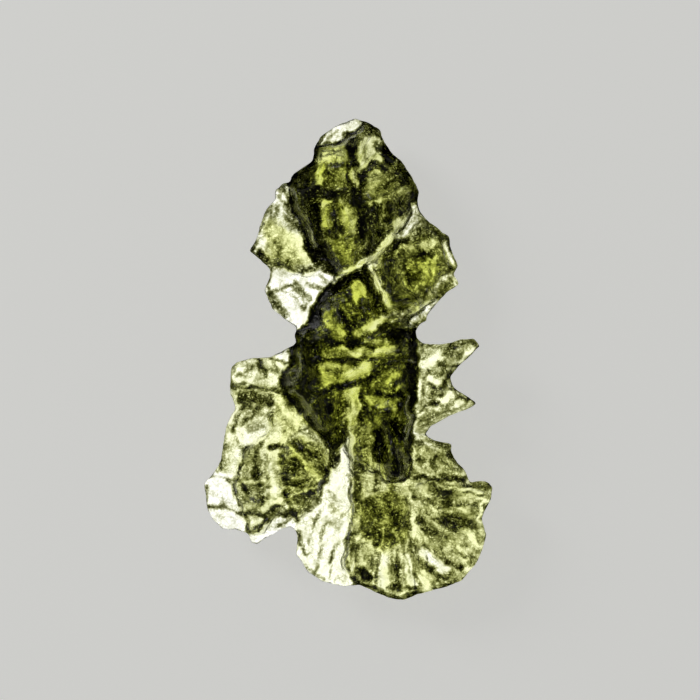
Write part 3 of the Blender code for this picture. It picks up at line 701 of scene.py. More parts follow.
def headTones():
    return [
        patch([(312, 160), (306, 164), (293, 172), (288, 180), (291, 198), (303, 222), (307, 245),
               (313, 256), (328, 264), (341, 277), (352, 272), (378, 256), (391, 240), (394, 232),
               (405, 220), (411, 206), (424, 196), (424, 170), (395, 140), (385, 110), (350, 110),
               (325, 120), (308, 145)],
              3.3, 5, 0.1, -1),
        # the pale chip beside the tip
        patch([(316, 141), (335, 124), (355, 114), (362, 122), (355, 131), (344, 139), (334, 143),
               (320, 144)],
              0.75, 3, 0.0),
        mark([(338, 131), (350, 123)], 2, 0.5, 4, 0),
        mark([(327, 139), (338, 134)], 1, 1.5, 3),
        mark([(310, 162), (314, 146), (319, 138)], 3, 4.2, 5),
        mark([(347, 136), (352, 143)], 2, 4.0),
        # the yellow cell below it
        patch([(316, 147), (330, 144), (346, 146), (348, 156), (345, 167), (330, 167), (316, 165)],
              1.0, 5, 0.6),
        mark([(322, 160), (334, 153)], 6, 0.1, 9, 0.45),
        mark([(346, 149), (346, 165)], 3, 2.1, 6, 0.6),
        mark([(316, 167), (330, 165), (346, 169)], 1, 3.2, 3),
        mark([(320, 168), (321, 186)], 4, 1.0, 4, 1.1),
        patch([(325, 168), (350, 168), (350, 184), (344, 193), (326, 190)], 2.3, 6, 0.6),
        mark([(336, 170), (341, 184)], 1, 3.4),
        mark([(309, 169), (310, 180)], 2, 2.8, 5, 1.0),
        # the dark left side
        patch([(286, 176), (306, 170), (314, 186), (320, 206), (322, 236), (334, 262), (336, 274),
               (318, 268), (303, 250), (298, 226), (288, 200)], 4.3, 6, None, -1),
        patch([(303, 188), (322, 190), (336, 196), (322, 204), (308, 208)], 5.2, 5),
        mark([(316, 206), (317, 236), (325, 252), (334, 268)], 3, 4.9, 5),
        mark([(294, 178), (296, 192)], 1, 3.0),
        mark([(306, 214), (308, 224)], 1, 3.4, 3),
        # lit strips in the middle
        patch([(321, 203), (334, 200), (333, 216), (331, 230), (322, 229)], 1.7, 5, 0.9),
        mark([(324, 206), (331, 204)], 2, 0.9, 3, 0.7),
        mark([(326, 214), (326, 224)], 2, 1.2),
        patch([(336, 202), (350, 204), (356, 222), (357, 240), (348, 240), (339, 226)], 2.0, 6, 0.7),
        mark([(345, 212), (352, 230)], 3, 1.1, 5, 0.7),
        patch([(329, 238), (346, 236), (358, 244), (356, 262), (346, 268), (338, 264), (330, 250)],
              2.0, 6, 0.75),
        mark([(336, 242), (344, 252)], 3, 1.4, 5, 0.9),
        mark([(351, 254), (348, 264)], 2, 1.5),
        mark([(330, 231), (336, 236)], 2, 4.3),
        # the dark ridge from the tip, and the pale streak beside it
        mark([(352, 136), (350, 150), (353, 165), (350, 178), (354, 192), (352, 204)], 3, 4.9, 5),
        mark([(362, 122), (368, 128), (360, 138)], 3, 2.3, 5, 0.0),
        mark([(376, 126), (381, 134)], 3, 4.6),
        mark([(383, 130), (385, 140)], 1, 2.0, 3),
        patch([(362, 138), (374, 136), (383, 142), (384, 164), (372, 162), (360, 172), (356, 160)],
              1.0, 5, 0.0),
        mark([(364, 146), (361, 160), (357, 172)], 2, 0.6, 5, 0),
        mark([(371, 142), (369, 156)], 2, 0.6, 4, 0),
        mark([(382, 141), (384, 162)], 1, 0.4, 3, 0),
        mark([(377, 148), (376, 158)], 1, 1.9),
        mark([(352, 170), (356, 184)], 3, 1.4, 4, 0.2),
        mark([(366, 173), (370, 167), (378, 164), (385, 170)], 2, 5.4),
        # ridges and hollows of the right side
        patch([(364, 176), (380, 172), (390, 177), (398, 186), (390, 194), (372, 198), (363, 190)],
              2.1, 6, 0.3),
        mark([(374, 176), (380, 174)], 2, 1.0),
        mark([(368, 186), (384, 180)], 1, 1.2),
        mark([(362, 172), (360, 198)], 2, 4.6),
        mark([(384, 186), (398, 181)], 1, 3.9),
        mark([(370, 204), (386, 198), (405, 192)], 3, 1.1, 5, 0.3),
        patch([(387, 205), (405, 203), (402, 218), (394, 230), (387, 228)], 4.4, 5),
        mark([(383, 204), (384, 230)], 1, 2.0, 4, 0.6),
        mark([(375, 208), (374, 236), (370, 252)], 5, 4.9, 5),
        mark([(360, 222), (362, 246)], 3, 4.6),
        mark([(367, 234), (366, 248)], 2, 2.6),
        mark([(398, 210), (407, 206)], 2, 3.2, 4, 0.6),
        mark([(386, 148), (396, 160), (408, 178)], 8, 5.2, 7),
        mark([(392, 168), (395, 162)], 1, 2.8, 3),
        mark([(412, 182), (417, 192)], 2, 3.0, 3),
    ]


def trunkTones():
    return [
        patch([(341, 279), (333, 283), (320, 296), (312, 314), (302, 328), (294, 331), (292, 338),
               (296, 346), (290, 361), (282, 376), (280, 389), (291, 401), (307, 421), (324, 438),
               (338, 452), (343, 436), (352, 431), (355, 436), (376, 436), (386, 466), (389, 479),
               (395, 481), (402, 479), (407, 455), (411, 425), (415, 395), (417, 370), (419, 347),
               (417, 335), (411, 328), (394, 318), (386, 308), (375, 286), (370, 270), (362, 270),
               (352, 274)], 3.45, 5, 0.85, 1),
        mark([(364, 273), (344, 281), (332, 291), (323, 304), (315, 322), (302, 334)], 5, 5.2, 5),
        # the bright cell at the top, and the cells left of it
        patch([(347, 282), (358, 276), (366, 284), (368, 300), (360, 306), (350, 300)], 0.9, 5, 1.1),
        mark([(352, 284), (360, 294)], 3, 0.7, 5, 1.0),
        patch([(338, 296), (350, 300), (362, 312), (362, 326), (350, 324), (342, 312)], 2.4, 6, 0.8),
        mark([(363, 304), (368, 308), (374, 302)], 4, 5.4, 5),
        mark([(337, 310), (345, 320), (349, 334)], 3, 5.0),
        patch([(324, 306), (331, 304), (338, 320), (346, 334), (342, 340), (330, 334), (320, 322)],
              1.9, 5, 0.8),
        mark([(326, 322), (336, 326), (342, 334)], 2, 1.1, 4, 0.8),
        mark([(366, 278), (374, 300)], 3, 3.4, 4, 0.7),
        # the slanting fold
        mark([(358, 335), (372, 326), (390, 317)], 5, 1.1, 6, 0.4),
        mark([(366, 328), (384, 319)], 2, 0.6, 4, 0.1),
        mark([(388, 318), (402, 316), (414, 306)], 4, 1.3, 6, 0.0),
        mark([(362, 340), (378, 329), (394, 327), (406, 331)], 3, 4.6, 5),
        mark([(390, 334), (410, 332)], 4, 4.6, 5),
        mark([(402, 340), (413, 344)], 4, 2.1, 5, 0.0),
        mark([(367, 340), (384, 343)], 3, 1.2, 4, 0.2),
        mark([(346, 346), (374, 347)], 1, 4.4),
        mark([(318, 337), (332, 342), (350, 345)], 3, 4.8, 5),
        # the long fold across
        mark([(332, 353), (350, 352), (372, 353), (394, 348)], 5, 1.2, 5, 0.5),
        mark([(344, 350), (362, 355)], 2, 0.5, 4, 0.1),
        mark([(374, 351), (388, 350)], 2, 0.7, 4, 0.1),
        mark([(318, 352), (330, 354)], 3, 2.2, 5, 0.5),
        mark([(398, 348), (413, 350)], 3, 3.0, 5),
        # the dark left side
        patch([(292, 332), (318, 338), (320, 362), (316, 392), (322, 404), (300, 404), (281, 388),
               (288, 362)],
              4.5, 6, None, 0),
        mark([(302, 336), (308, 340), (312, 356)], 1, 3.1, 4, 0.0),
        mark([(286, 376), (292, 367), (301, 364)], 2, 3.2, 4, 0.0),
        mark([(284, 384), (288, 390)], 1, 3.2, 3),
        # the third fold
        patch([(318, 364), (336, 362), (352, 364), (372, 362), (374, 368), (362, 377), (342, 383),
               (320, 390)],
              1.5, 5, 0.6),
        mark([(321, 370), (326, 384)], 3, 1.0, 4, 1.1),
        mark([(332, 376), (344, 378)], 3, 1.2, 4, 0.9),
        mark([(350, 372), (368, 367)], 3, 0.7, 4, 0.2),
        mark([(326, 365), (344, 366)], 2, 1.1, 4, 0.6),
        mark([(336, 370), (340, 379)], 1, 2.6, 3),
        mark([(318, 396), (334, 388), (352, 384), (366, 379), (378, 371), (384, 364)], 3, 4.7, 5),
        mark([(318, 361), (352, 358), (384, 361), (412, 363)], 1, 4.7),
        # bright cells on the right, and the dark right edge
        patch([(370, 384), (378, 372), (392, 366), (400, 370), (398, 384), (386, 392), (374, 392)],
              2.2, 5, 0.7),
        mark([(386, 382), (392, 376), (398, 374)], 3, 1.0, 4, 1.2),
        mark([(397, 390), (404, 384)], 3, 1.2, 4, 1.1),
        mark([(405, 368), (407, 376)], 2, 1.8, 4, 1.0),
        mark([(402, 378), (395, 387), (392, 396)], 1, 4.6),
        mark([(414, 348), (412, 374), (413, 386), (411, 404), (409, 440), (405, 472)], 4, 4.6, 5),
        # the hollow on the left
        patch([(310, 398), (328, 398), (330, 412), (322, 426), (312, 412)], 5.4, 6),
        mark([(313, 402), (320, 401), (328, 404)], 1, 2.8, 2),
        patch([(308, 408), (318, 412), (330, 424), (331, 440), (320, 434)], 4.0, 5, 1.0),
        patch([(331, 394), (342, 390), (344, 408), (340, 436), (333, 444), (330, 420)], 3.0, 5, 1.0),
        mark([(337, 392), (342, 402)], 2, 1.5, 4, 0.9),
        # the bright strip down to the fan
        patch([(344, 388), (358, 386), (362, 404), (358, 424), (350, 438), (345, 430), (343, 408)],
              1.1, 5, 0.45),
        mark([(353, 390), (352, 412), (350, 434)], 2, 0.5, 5, 0.2),
        mark([(345, 396), (346, 424)], 1, 3.2, 3),
        mark([(361, 384), (363, 402), (364, 424)], 2, 4.2),
        # cells of the leg, and its dark end
        patch([(366, 396), (384, 395), (386, 408), (374, 412), (366, 408)], 1.7, 5, 0.8),
        mark([(369, 400), (372, 407)], 2, 0.9, 4, 0.8),
        mark([(380, 400), (381, 407)], 1, 1.1, 3, 0.8),
        mark([(389, 402), (397, 405)], 4, 1.3, 4, 0.9),
        mark([(376, 392), (398, 396), (402, 408)], 1, 4.8, 3),
        mark([(376, 418), (382, 421)], 3, 2.0, 4, 0.8),
        mark([(394, 419), (400, 422)], 3, 2.2, 4, 0.8),
        mark([(386, 412), (390, 424), (384, 440)], 4, 5.0, 5),
        patch([(352, 428), (370, 424), (378, 434), (377, 452), (370, 464), (354, 466)], 2.2, 8, 0.5),
        patch([(377, 430), (390, 424), (409, 426), (407, 452), (402, 480), (391, 481), (386, 466),
               (376, 452)],
              5.4, 6, None, 3),
        mark([(388, 442), (391, 466)], 3, 3.8, 5, 0.8),
        mark([(396, 438), (402, 448)], 3, 2.4, 5, 1.1),
        mark([(326, 440), (334, 452), (333, 466)], 3, 5.0),
        mark([(350, 434), (349, 462)], 2, 0.15, 4, 0.0),
    ]


def grooveTones():
    return [
        # the long groove under the head
        mark([(334, 281), (342, 275), (352, 269), (362, 264), (372, 257), (382, 248), (392, 234)],
             3, 0.3, 3, 0.15),
        mark([(356, 268), (366, 261), (377, 252)], 1, 0.2, 3, 0.0),
        mark([(394, 232), (404, 222), (414, 210)], 5, 1.1, 6, 0.0),
        mark([(385, 256), (394, 246), (404, 240)], 2, 4.0),
        # the short groove beside the trunk
        mark([(370, 266), (376, 276), (382, 292), (387, 309)], 3, 0.35, 3, 0.1),
        mark([(377, 280), (385, 304)], 1, 0.2, 3, 0.0),
        mark([(380, 268), (386, 280), (392, 300)], 1, 3.8),
    ]


# Thicknesses and heights are in mm, and points and reaches in squares of the sheet.
stone = {
    "sheetThickness": 1.2,  # before any ledge is drawn
    "column": (5.5, 0.36),  # its middle thickness, and the share of each ledge that is left in it
    "edgeThickness": 0.4,  # of the rim, at least
    "edgeShare": 0.2,  # of the thickness is left at the rim
    "edgeRound": 0.7,  # how far in the rounding reaches, and how much further for each mm of thickness
    "edgeRoundShare": 0.3,
    "wingLevel": 3.1,  # the height of the underside where the glass is 1 mm thick
    "bellyShare": 0.66,  # thick parts hang down by this share of their thickness
    "bellyBlur": 2.6,
    "backShare": 0.3,  # of the front's finer steps show on the back
    "backBlur": 0.45,
    "frontBlur": 0.1,
    "backRelief": (0.35, 3.4, 5),  # height, size, seed
    "backPits": (0.17, 1.5, 7),
    "frontRelief": (0.2, 1.9, 11),
    "wander": [(0.32, 1.1, 2)],  # how the ledges waver: distance, size, seed
    "flutes": {"centre": (385, 470), "spread": 17, "height": 0.26, "inner": 72, "fade": 26},
    "depthTone": 0.07,  # tone that each mm of clear glass gives by itself
    "toneRelief": (0.07, 0.9, 0.16),  # mm lower for each tone, over this many mm, and at most
    "bends": [  # of the underside: point, reach, rise
        ((250, 250), 48, 1.2),
        ((475, 372), 48, 1.5),
        ((455, 255), 40, -0.5),
        ((212, 500), 52, -1.1),
        ((395, 580), 62, -0.9),
        ((490, 490), 34, 0.7),
        ((355, 125), 46, 0.9),
    ],
    "rest": {"point": (358, 352), "halfWidth": 24, "halfLength": 44, "edge": 1.3, "depth": 0.12},
    "clearance": 0.25,  # under all but the resting spot
    "clearanceSoftness": 0.6,
    # in metres
    "blankThickness": 0.0008,
    "blankGrid": 0.00017,
    "skinGrid": 0.00019,
}


# The etched texture, which is painted shade and also lowers the skin, runs along the stone's own grain: down
# the head and the trunk, along the spikes and outwards in the fan. Sizes, lengths and distances are in mm.
texture = {
    "grain": [  # point, reach, direction in degrees on the sheet
        ((350, 190), 60, 90), ((300, 230), 40, 70), ((350, 355), 30, 85), ((400, 340), 30, 75),
        ((345, 415), 30, 90), ((390, 440), 30, 90), ((300, 390), 26, 90), ((335, 305), 26, 55),
        ((415, 270), 36, 75), ((285, 240), 36, 110), ((300, 295), 30, 30), ((445, 360), 34, -25),
        ((445, 405), 30, -18), ((255, 380), 30, 10), ((255, 430), 36, 60), ((265, 485), 40, 85),
        ((310, 470), 30, 45), ((220, 500), 34, 20), ((320, 550), 40, 102), ((340, 480), 26, 95),
        ((365, 560), 34, 100), ((400, 560), 34, 85), ((440, 550), 34, 50), ((465, 500), 34, -12),
        ((430, 465), 30, 40), ((380, 510), 26, 80),
    ],
    "grainSteps": 7,
    # size, length, seed, weight
    "streaks": [(0.28, 0.7, 50, 0.6), (0.5, 1.3, 51, 0.5), (0.9, 2.4, 52, 0.35)],
    # size, length, width as a share of the swell, seed, weight
    "creases": [(1.25, 1.5, 0.22, 53, 0.6), (0.7, 1.1, 0.3, 55, 0.5)],
    "sway": [(0.24, 1.1, 61), (0.16, 0.45, 64)],  # how the drawn tones waver: distance, size, seed
    "contrast": (0.18, 0.18),  # of the texture where the tone is 0, and more for each tone
    "bareTone": 1.0,  # before any tone is drawn
    "bareTint": 0.16,  # of glass 1 mm deep
    "whitest": -0.12,  # so that white places take little of the grain
    "sharpen": [(0.5, 0.25), (0.25, 0.35)],  # over how many mm, and how much
    "gain": (1.3, 1.16),  # tones move away from the first number by the second
    "unevenness": (0.25, 0.7, 0.9, 71),  # of the drawn marks: share, contrast, size, seed
    "fluteLines": {
        "strength": 0.65,
        "byTone": (0.4, 0.6),  # of the strength where the tone is 0, and more for each tone
        "inner": 34, "fade": 40, "reach": 95,  # in squares
        "size": 0.26, "length": 2.2, "seed": 81,
    },
    "relief": 0.045,  # mm lower for each power of e that the texture darkens
}


def covered(form, x, y):  # the window of the plan that a form reaches, and its cover there
    columns, rows = zip(*form["points"])
    reach = form["edge"] + form["grow"] + sheet["margin"]
    left, top = sheet["box"][:2]
    across = slice(max(int(min(columns) - reach - left), 0), max(int(max(columns) + reach - left), 0))
    down = slice(max(int(min(rows) - reach - top), 0), max(int(max(rows) + reach - top), 0))
    px, py = x[down, across], y[down, across]
    if form["closed"]:
        inside = depthInside(px, py, form["points"])
    else:
        inside = -distanceToLine(px, py, form["points"])
    return (down, across), smoothStep(0.5 + (inside + form["grow"]) / form["edge"])


def paint(thickness, x, y, form):
    window, cover = covered(form, x, y)
    thickness[window] += (form["thickness"] - thickness[window]) * cover


def paintTone(tones, tints, strength, x, y, form):
    window, cover = covered(form, x, y)
    if not form["closed"]:
        cover *= strength[window]
    tones[window] += (form["tone"] - tones[window]) * cover
    if form["tint"] is not None:
        tints[window] += (form["tint"] - tints[window]) * cover


def evened(form):  # the column is evener in thickness than its ledges say
    middle, share = stone["column"]
    return {**form, "thickness": middle + (form["thickness"] - middle) * share}


def wavered(x, y, waves):
    column, row = x.copy(), y.copy()
    for distance, size, seed in waves:
        column += distance * squaresPerMm * swells(x, y, size, seed)
        row += distance * squaresPerMm * swells(x, y, size, seed + 1)
    return column, row


def fluted(plan, x, y):  # the fan's broad ribs
    flutes = stone["flutes"]
    fx, fy = x - flutes["centre"][0], y - flutes["centre"][1]
    shown = smoothStep((np.hypot(fx, fy) - flutes["inner"]) / flutes["fade"]) * (fy > 0)
    return plan * (1.0 + flutes["height"] * shown * np.cos(np.arctan2(fx, fy) * 2 * flutes["spread"]))


def thicknessPlan(x, y):
    plan = np.full(x.shape, stone["sheetThickness"])
    for form in upperLeftWing() + upperRightWing() + spikes() + lowerLeftLobe() + fan() + trunkFoot():
        paint(plan, x, y, form)
    for form in head() + trunk() + deepGrooves():
        paint(plan, x, y, evened(form))
    for form in headFacet():
        paint(plan, x, y, form)
    height, size, seed = stone["frontRelief"]
    plan += height * swells(x, y, size, seed) * np.sqrt(plan)
    return fluted(plan, x, y)


def fluteLines(x, y, tones):  # fine lines of painted shade and painted light that run outwards in the fan
    lines = texture["fluteLines"]
    fx, fy = x - stone["flutes"]["centre"][0], y - stone["flutes"]["centre"][1]
    distance = np.hypot(fx, fy)
    shown = smoothStep((distance - lines["inner"]) / lines["fade"]) * smoothStep(0.5 + fy / lines["fade"])
    around = np.arctan2(fx, fy) * lines["reach"]
    outward = distance * lines["size"] / lines["length"]
    drawn = lines["strength"] * shown * swells(around, outward, lines["size"], lines["seed"])
    least, more = lines["byTone"]
    return drawn * (least + more * tones)


def drawnTones():
    return (
        upperLeftWingTones() + upperRightWingTones() + spikeTones() + lowerLeftLobeTones() + fanTones()
        + headTones() + trunkTones() + grooveTones()
    )


def tonePlans(x, y, thickness):
    tones = np.full(x.shape, texture["bareTone"])
    tints = texture["bareTint"] * np.sqrt(np.maximum(thickness, 0.0))
    share, contrast, size, seed = texture["unevenness"]
    strength = 1.0 - share * smoothStep(0.5 + contrast * swells(x, y, size, seed))
    x, y = wavered(x, y, texture["sway"])
    for form in drawnTones():
        paintTone(tones, tints, strength, x, y, form)
    tones += fluteLines(x, y, tones)
    for width, gain in texture["sharpen"]:
        tones += gain * (tones - blurred(tones, width))
    middle, gain = texture["gain"]
    return np.maximum(middle + gain * (tones - middle), texture["whitest"]), tints


def grainDirection(x, y):
    across, down = np.zeros(x.shape), np.zeros(x.shape)
    for point, reach, degrees in texture["grain"]:
        weight = np.exp(-((x - point[0]) ** 2 + (y - point[1]) ** 2) / reach**2)
        across += weight * math.cos(math.radians(2 * degrees))
        down += weight * math.sin(math.radians(2 * degrees))
    return np.arctan2(down, across) / 2


def alongGrain(x, y, direction, size, length, seed):
    total = np.zeros(x.shape)
    for step in np.linspace(-0.5, 0.5, texture["grainSteps"]):
        reach = step * length * squaresPerMm
        total += swells(x + reach * np.cos(direction), y + reach * np.sin(direction), size, seed)
    return total / total.std()


def texturePlan(x, y):  # the etched pattern in powers of e, painted as shade on the skin and also cut into it as relief, with an even spread around 0
    direction = grainDirection(x, y)
    plan = np.zeros(x.shape)
    for size, length, seed, weight in texture["streaks"]:
        plan += weight * alongGrain(x, y, direction, size, length, seed)
    for size, length, width, seed, weight in texture["creases"]:
        line = np.exp(-((alongGrain(x, y, direction, size, length, seed) / width) ** 2))
        line *= smoothStep(0.5 + swells(x, y, size, seed + 9))  # so that a crease comes and goes
        plan += weight * (line - line.mean()) / line.std()
    return plan / plan.std()


def restingSpot(level, x, y):  # the flat on which the stone lies
    rest = stone["rest"]
    across, down = x - rest["point"][0], y - rest["point"][1]
    outward = np.hypot(across / rest["halfWidth"], down / rest["halfLength"])
    return level - (level + rest["depth"]) * smoothStep((1.0 - outward) / rest["edge"] + 1.0)


def undersidePlan(x, y, thickness):
    belly = blurred(thickness, stone["bellyBlur"])
    level = stone["wingLevel"] - stone["bellyShare"] * (belly - 1.0)
    level -= stone["backShare"] * (blurred(thickness, stone["backBlur"]) - belly)
    for point, reach, rise in stone["bends"]:
        level += rise * np.exp(-((x - point[0]) ** 2 + (y - point[1]) ** 2) / reach**2)
    for height, size, seed in (stone["backRelief"], stone["backPits"]):
        level += height * swells(x, y, size, seed)
    level -= stone["clearance"]
    level = stone["clearance"] + (level + np.sqrt(level**2 + stone["clearanceSoftness"] ** 2)) / 2
    return restingSpot(level, x, y)


def thinned(height, thickness):  # thin glass is etched less
    return height * np.clip(thickness / skin["fullDepthAt"], skin["leastDepth"], 1.0)


def edgeRounded(thickness, x, y):
    edge = np.maximum(thickness * stone["edgeShare"], stone["edgeThickness"])
    reach = stone["edgeRound"] + stone["edgeRoundShare"] * thickness
    inward = depthInside(x, y, outline) / squaresPerMm / reach
    rounded = np.sqrt(1.0 - (1.0 - np.clip(inward, 0.0, 1.0)) ** 2)
    return edge + (thickness - edge) * rounded


def heightPlans():
    left, top, right, bottom = sheet["box"]
    x, y = np.meshgrid(np.arange(left, right, dtype=float), np.arange(top, bottom, dtype=float))
    thickness = thicknessPlan(*wavered(x, y, stone["wander"]))
    underside = undersidePlan(x, y, thickness)
    tone, tint = tonePlans(x, y, thickness)
    least, more = texture["contrast"]
    etchedShadeAndRelief = texturePlan(x, y) * (least + more * tone)
    # painted shade: the drawn tones and the etched pattern, less what the clear glass's depth gives by
    # itself
    shade = tone + etchedShadeAndRelief - stone["depthTone"] * thickness
    fall, width, most = stone["toneRelief"]
    relief = np.clip(fall * (blurred(tone, width) - tone), -most, most) - texture["relief"] * etchedShadeAndRelief
    thickness = blurred(thickness + thinned(relief, thickness), stone["frontBlur"])
    thickness = edgeRounded(thickness, x, y)
    return underside * mm, (underside + thickness) * mm, shade, tint


def readPlan(plan, column, row):
    i, j = np.floor(column).astype(int), np.floor(row).astype(int)
    across, down = column - i, row - j
    top = mixed(plan[j, i], plan[j, i + 1], across)
    low = mixed(plan[j + 1, i], plan[j + 1, i + 1], across)
    return mixed(top, low, down)


def addObject(name, data):
    obj = bpy.data.objects.new(name, data)
    bpy.context.scene.collection.objects.link(obj)
    return obj


def bakeModifiers(obj):  # turns an object into the mesh that its modifiers make
    graph = bpy.context.evaluated_depsgraph_get()
    mesh = bpy.data.meshes.new_from_object(obj.evaluated_get(graph))
    if obj.type == "MESH":
        obj.modifiers.clear()
        obj.data = mesh
        return obj
    name = obj.name
    bpy.data.objects.remove(obj, do_unlink=True)
    return addObject(name, mesh)


def cutBlank():
    curve = bpy.data.curves.new("blank", "CURVE")
    curve.dimensions = "2D"
    curve.fill_mode = "BOTH"
    curve.extrude = stone["blankThickness"] / 2
    spline = curve.splines.new("POLY")
    spline.points.add(len(outline) - 1)
    for splinePoint, point in zip(spline.points, outline):
        splinePoint.co = (*toStone(point), 1.0)
    spline.use_cyclic_u = True
    blank = bakeModifiers(addObject("sculptedMoldavite", curve))
    regrid(blank, stone["blankGrid"])
    return blank


def regrid(obj, size):
    remesh = obj.modifiers.new("regrid", "REMESH")
    remesh.mode = "VOXEL"
    remesh.voxel_size = size
    remesh.use_smooth_shade = True
    bakeModifiers(obj)


def readVectors(data, name):
    vectors = np.empty(len(data) * 3)
    data.foreach_get(name, vectors)
    return vectors.reshape(-1, 3)


def movePoints(mesh, points):
    mesh.vertices.foreach_set("co", points.ravel())
    mesh.update()


def onSheet(points):
    column = points[:, 0] / square + sheet["centre"][0] - sheet["box"][0]
    return column, sheet["centre"][1] - points[:, 1] / square - sheet["box"][1]


def sculpt(obj, underside, front):
    points = readVectors(obj.data.vertices, "co")
    low, high = readPlan(underside, *onSheet(points)), readPlan(front, *onSheet(points))
    share = np.clip(points[:, 2] / stone["blankThickness"] + 0.5, 0.0, 1.0)
    points[:, 2] = low + (high - low) * share
    movePoints(obj.data, points)


# The etched skin, in mm: creases run where a swell crosses zero, and folds lie between them.
skin = {
    # size, width as a share of the swell, depth, seed
    "creases": [(1.5, 0.22, 0.1, 21), (0.8, 0.25, 0.06, 22)],
    "folds": [(1.1, 0.1, 31), (0.5, 0.06, 32), (0.28, 0.03, 33)],  # size, height, seed
    "frontShare": 1.95,  # of the shade is on the front, and the rest of 2 on the back
    "backTurn": 2.5,  # how soon the shade ends where the skin turns down
    "sideLight": 0.5,  # of the shade is missing on upright sides, where more light comes through
    "sideTurn": 2.0,
    "wander": (0.7, 0.35, 41),  # size, distance, seed
    "fullDepthAt": 1.5,  # glass this thick is etched in full
    "leastDepth": 0.35,
}


def shadeShare(facing):  # by how far the skin faces up, from 1 through 0 at the sides to -1 below
    front = smoothStep(1.0 + skin["backTurn"] * facing)
    front *= 1.0 - skin["sideLight"] * smoothStep(1.0 - skin["sideTurn"] * facing)
    return front * skin["frontShare"] + (1.0 - front) * (2.0 - skin["frontShare"])


def creasesAndFolds(points):  # the height of the etched skin in mm, and how far each place is in a crease
    size, distance, seed = skin["wander"]
    wandered = [swells3d(points, size, seed + axis) for axis in range(3)]
    points = points + distance * mm * np.stack(wandered, axis=1)
    height, crease = np.zeros(len(points)), np.zeros(len(points))
    for size, width, depth, seed in skin["creases"]:
        line = np.exp(-((swells3d(points, size, seed) / width) ** 2))
        height -= depth * line
        crease = np.maximum(crease, line)
    for size, rise, seed in skin["folds"]:
        height += rise * swells3d(points, size, seed)
    return height, crease


def etch(obj, shade, tint, solid):
    points = readVectors(obj.data.vertices, "co")
    normals = readVectors(obj.data.vertices, "normal")
    solidHere = readPlan(solid, *onSheet(points)) / mm
    shadeHere = readPlan(shade, *onSheet(points)) * shadeShare(normals[:, 2])
    height, crease = creasesAndFolds(points)
    points += normals * thinned(height, solidHere)[:, None] * mm
    points[:, 2] = np.maximum(points[:, 2], 0.0)
    movePoints(obj.data, points)
    obj.data.shade_smooth()
    tintHere = readPlan(tint, *onSheet(points))
    for name, values in (("crease", crease), ("shade", shadeHere), ("tint", tintHere)):
        attribute = obj.data.attributes.new(name, "FLOAT", "POINT")
        attribute.data.foreach_set("value", values.astype(np.float32))


glass = {
    "ior": 1.49,
    "absorptionColor": (0.7, 0.73, 0.2, 1.0),
    "absorptionDensity": 230.0,
    "shadeColors": (1.0, 0.98, 1.43),  # what each shade takes from red, green and blue, as powers of e
    "tintColors": (0.08, 0.02, 1.15),
    # painted shade in the creases of the etched skin
    "creaseShade": 0.25,
    "grain": (4400.0, 4.0, 0.65),  # how many to a metre, detail, roughness
    "grainShade": (2.4, 3.8),  # where the glass is clear, and more for each shade
    "wrinkles": [(560.0, 34.0), (1150.0, 26.0)],  # lines of painted shade that wander like fine wrinkles, not in the skin's shape: how many to a metre, and how thin
    "wrinkleNoise": (2.0, 0.45),  # detail, roughness
    "wrinkleMean": 0.3,  # taken off, so that wrinkles don't darken the glass as a whole
    "wrinkleShade": (0.5, 0.6),  # where the glass is clear, and more for each shade
    "distortion": 0.6,
    "bump": (0.5, 0.00005),  # strength, distance
    "patches": (700.0, 2.0, 0.5),  # of polished and frosted skin
    "patchRange": (0.3, 0.7),
    "roughness": (0.12, 0.36),  # polished, and frosted
}


def noiseTexture(tree, vector, scale, detail, roughness):
    noise = tree.nodes.new("ShaderNodeTexNoise")
    noise.inputs["Scale"].default_value = scale
    noise.inputs["Detail"].default_value = detail
    noise.inputs["Roughness"].default_value = roughness
    noise.inputs["Distortion"].default_value = glass["distortion"]
    tree.links.new(vector, noise.inputs["Vector"])
    return noise.outputs["Fac"]


def mathNode(tree, operation, *values):
    node = tree.nodes.new("ShaderNodeMath")
    node.operation = operation
    for socket, value in zip(node.inputs, values):
        if isinstance(value, (int, float)):
            socket.default_value = value
        else:
            tree.links.new(value, socket)
    return node.outputs["Value"]


def rangeNode(tree, value, fromRange, toRange, interpolation="LINEAR"):
    node = tree.nodes.new("ShaderNodeMapRange")
    node.interpolation_type = interpolation
    node.inputs["From Min"].default_value, node.inputs["From Max"].default_value = fromRange
    node.inputs["To Min"].default_value, node.inputs["To Max"].default_value = toRange
    tree.links.new(value, node.inputs["Value"])
    return node.outputs["Result"]


def attributeNode(tree, name):
    node = tree.nodes.new("ShaderNodeAttribute")
    node.attribute_name = name
    return node.outputs["Fac"]


def byShade(tree, shade, least, more):
    return mathNode(tree, "MULTIPLY_ADD", mathNode(tree, "MAXIMUM", shade, 0.0), more, least)


def lightAfter(tree, shade):  # the share of light that a shade lets through
    return mathNode(tree, "POWER", math.exp(-1.0), shade)


def wrinkle(tree, vector, scale, thinness):  # 1 along wandering lines, and 0 between them
    swell = noiseTexture(tree, vector, scale, *glass["wrinkleNoise"])
    away = mathNode(tree, "MULTIPLY", mathNode(tree, "SUBTRACT", swell, 0.5), thinness)
    return lightAfter(tree, mathNode(tree, "MULTIPLY", away, away))


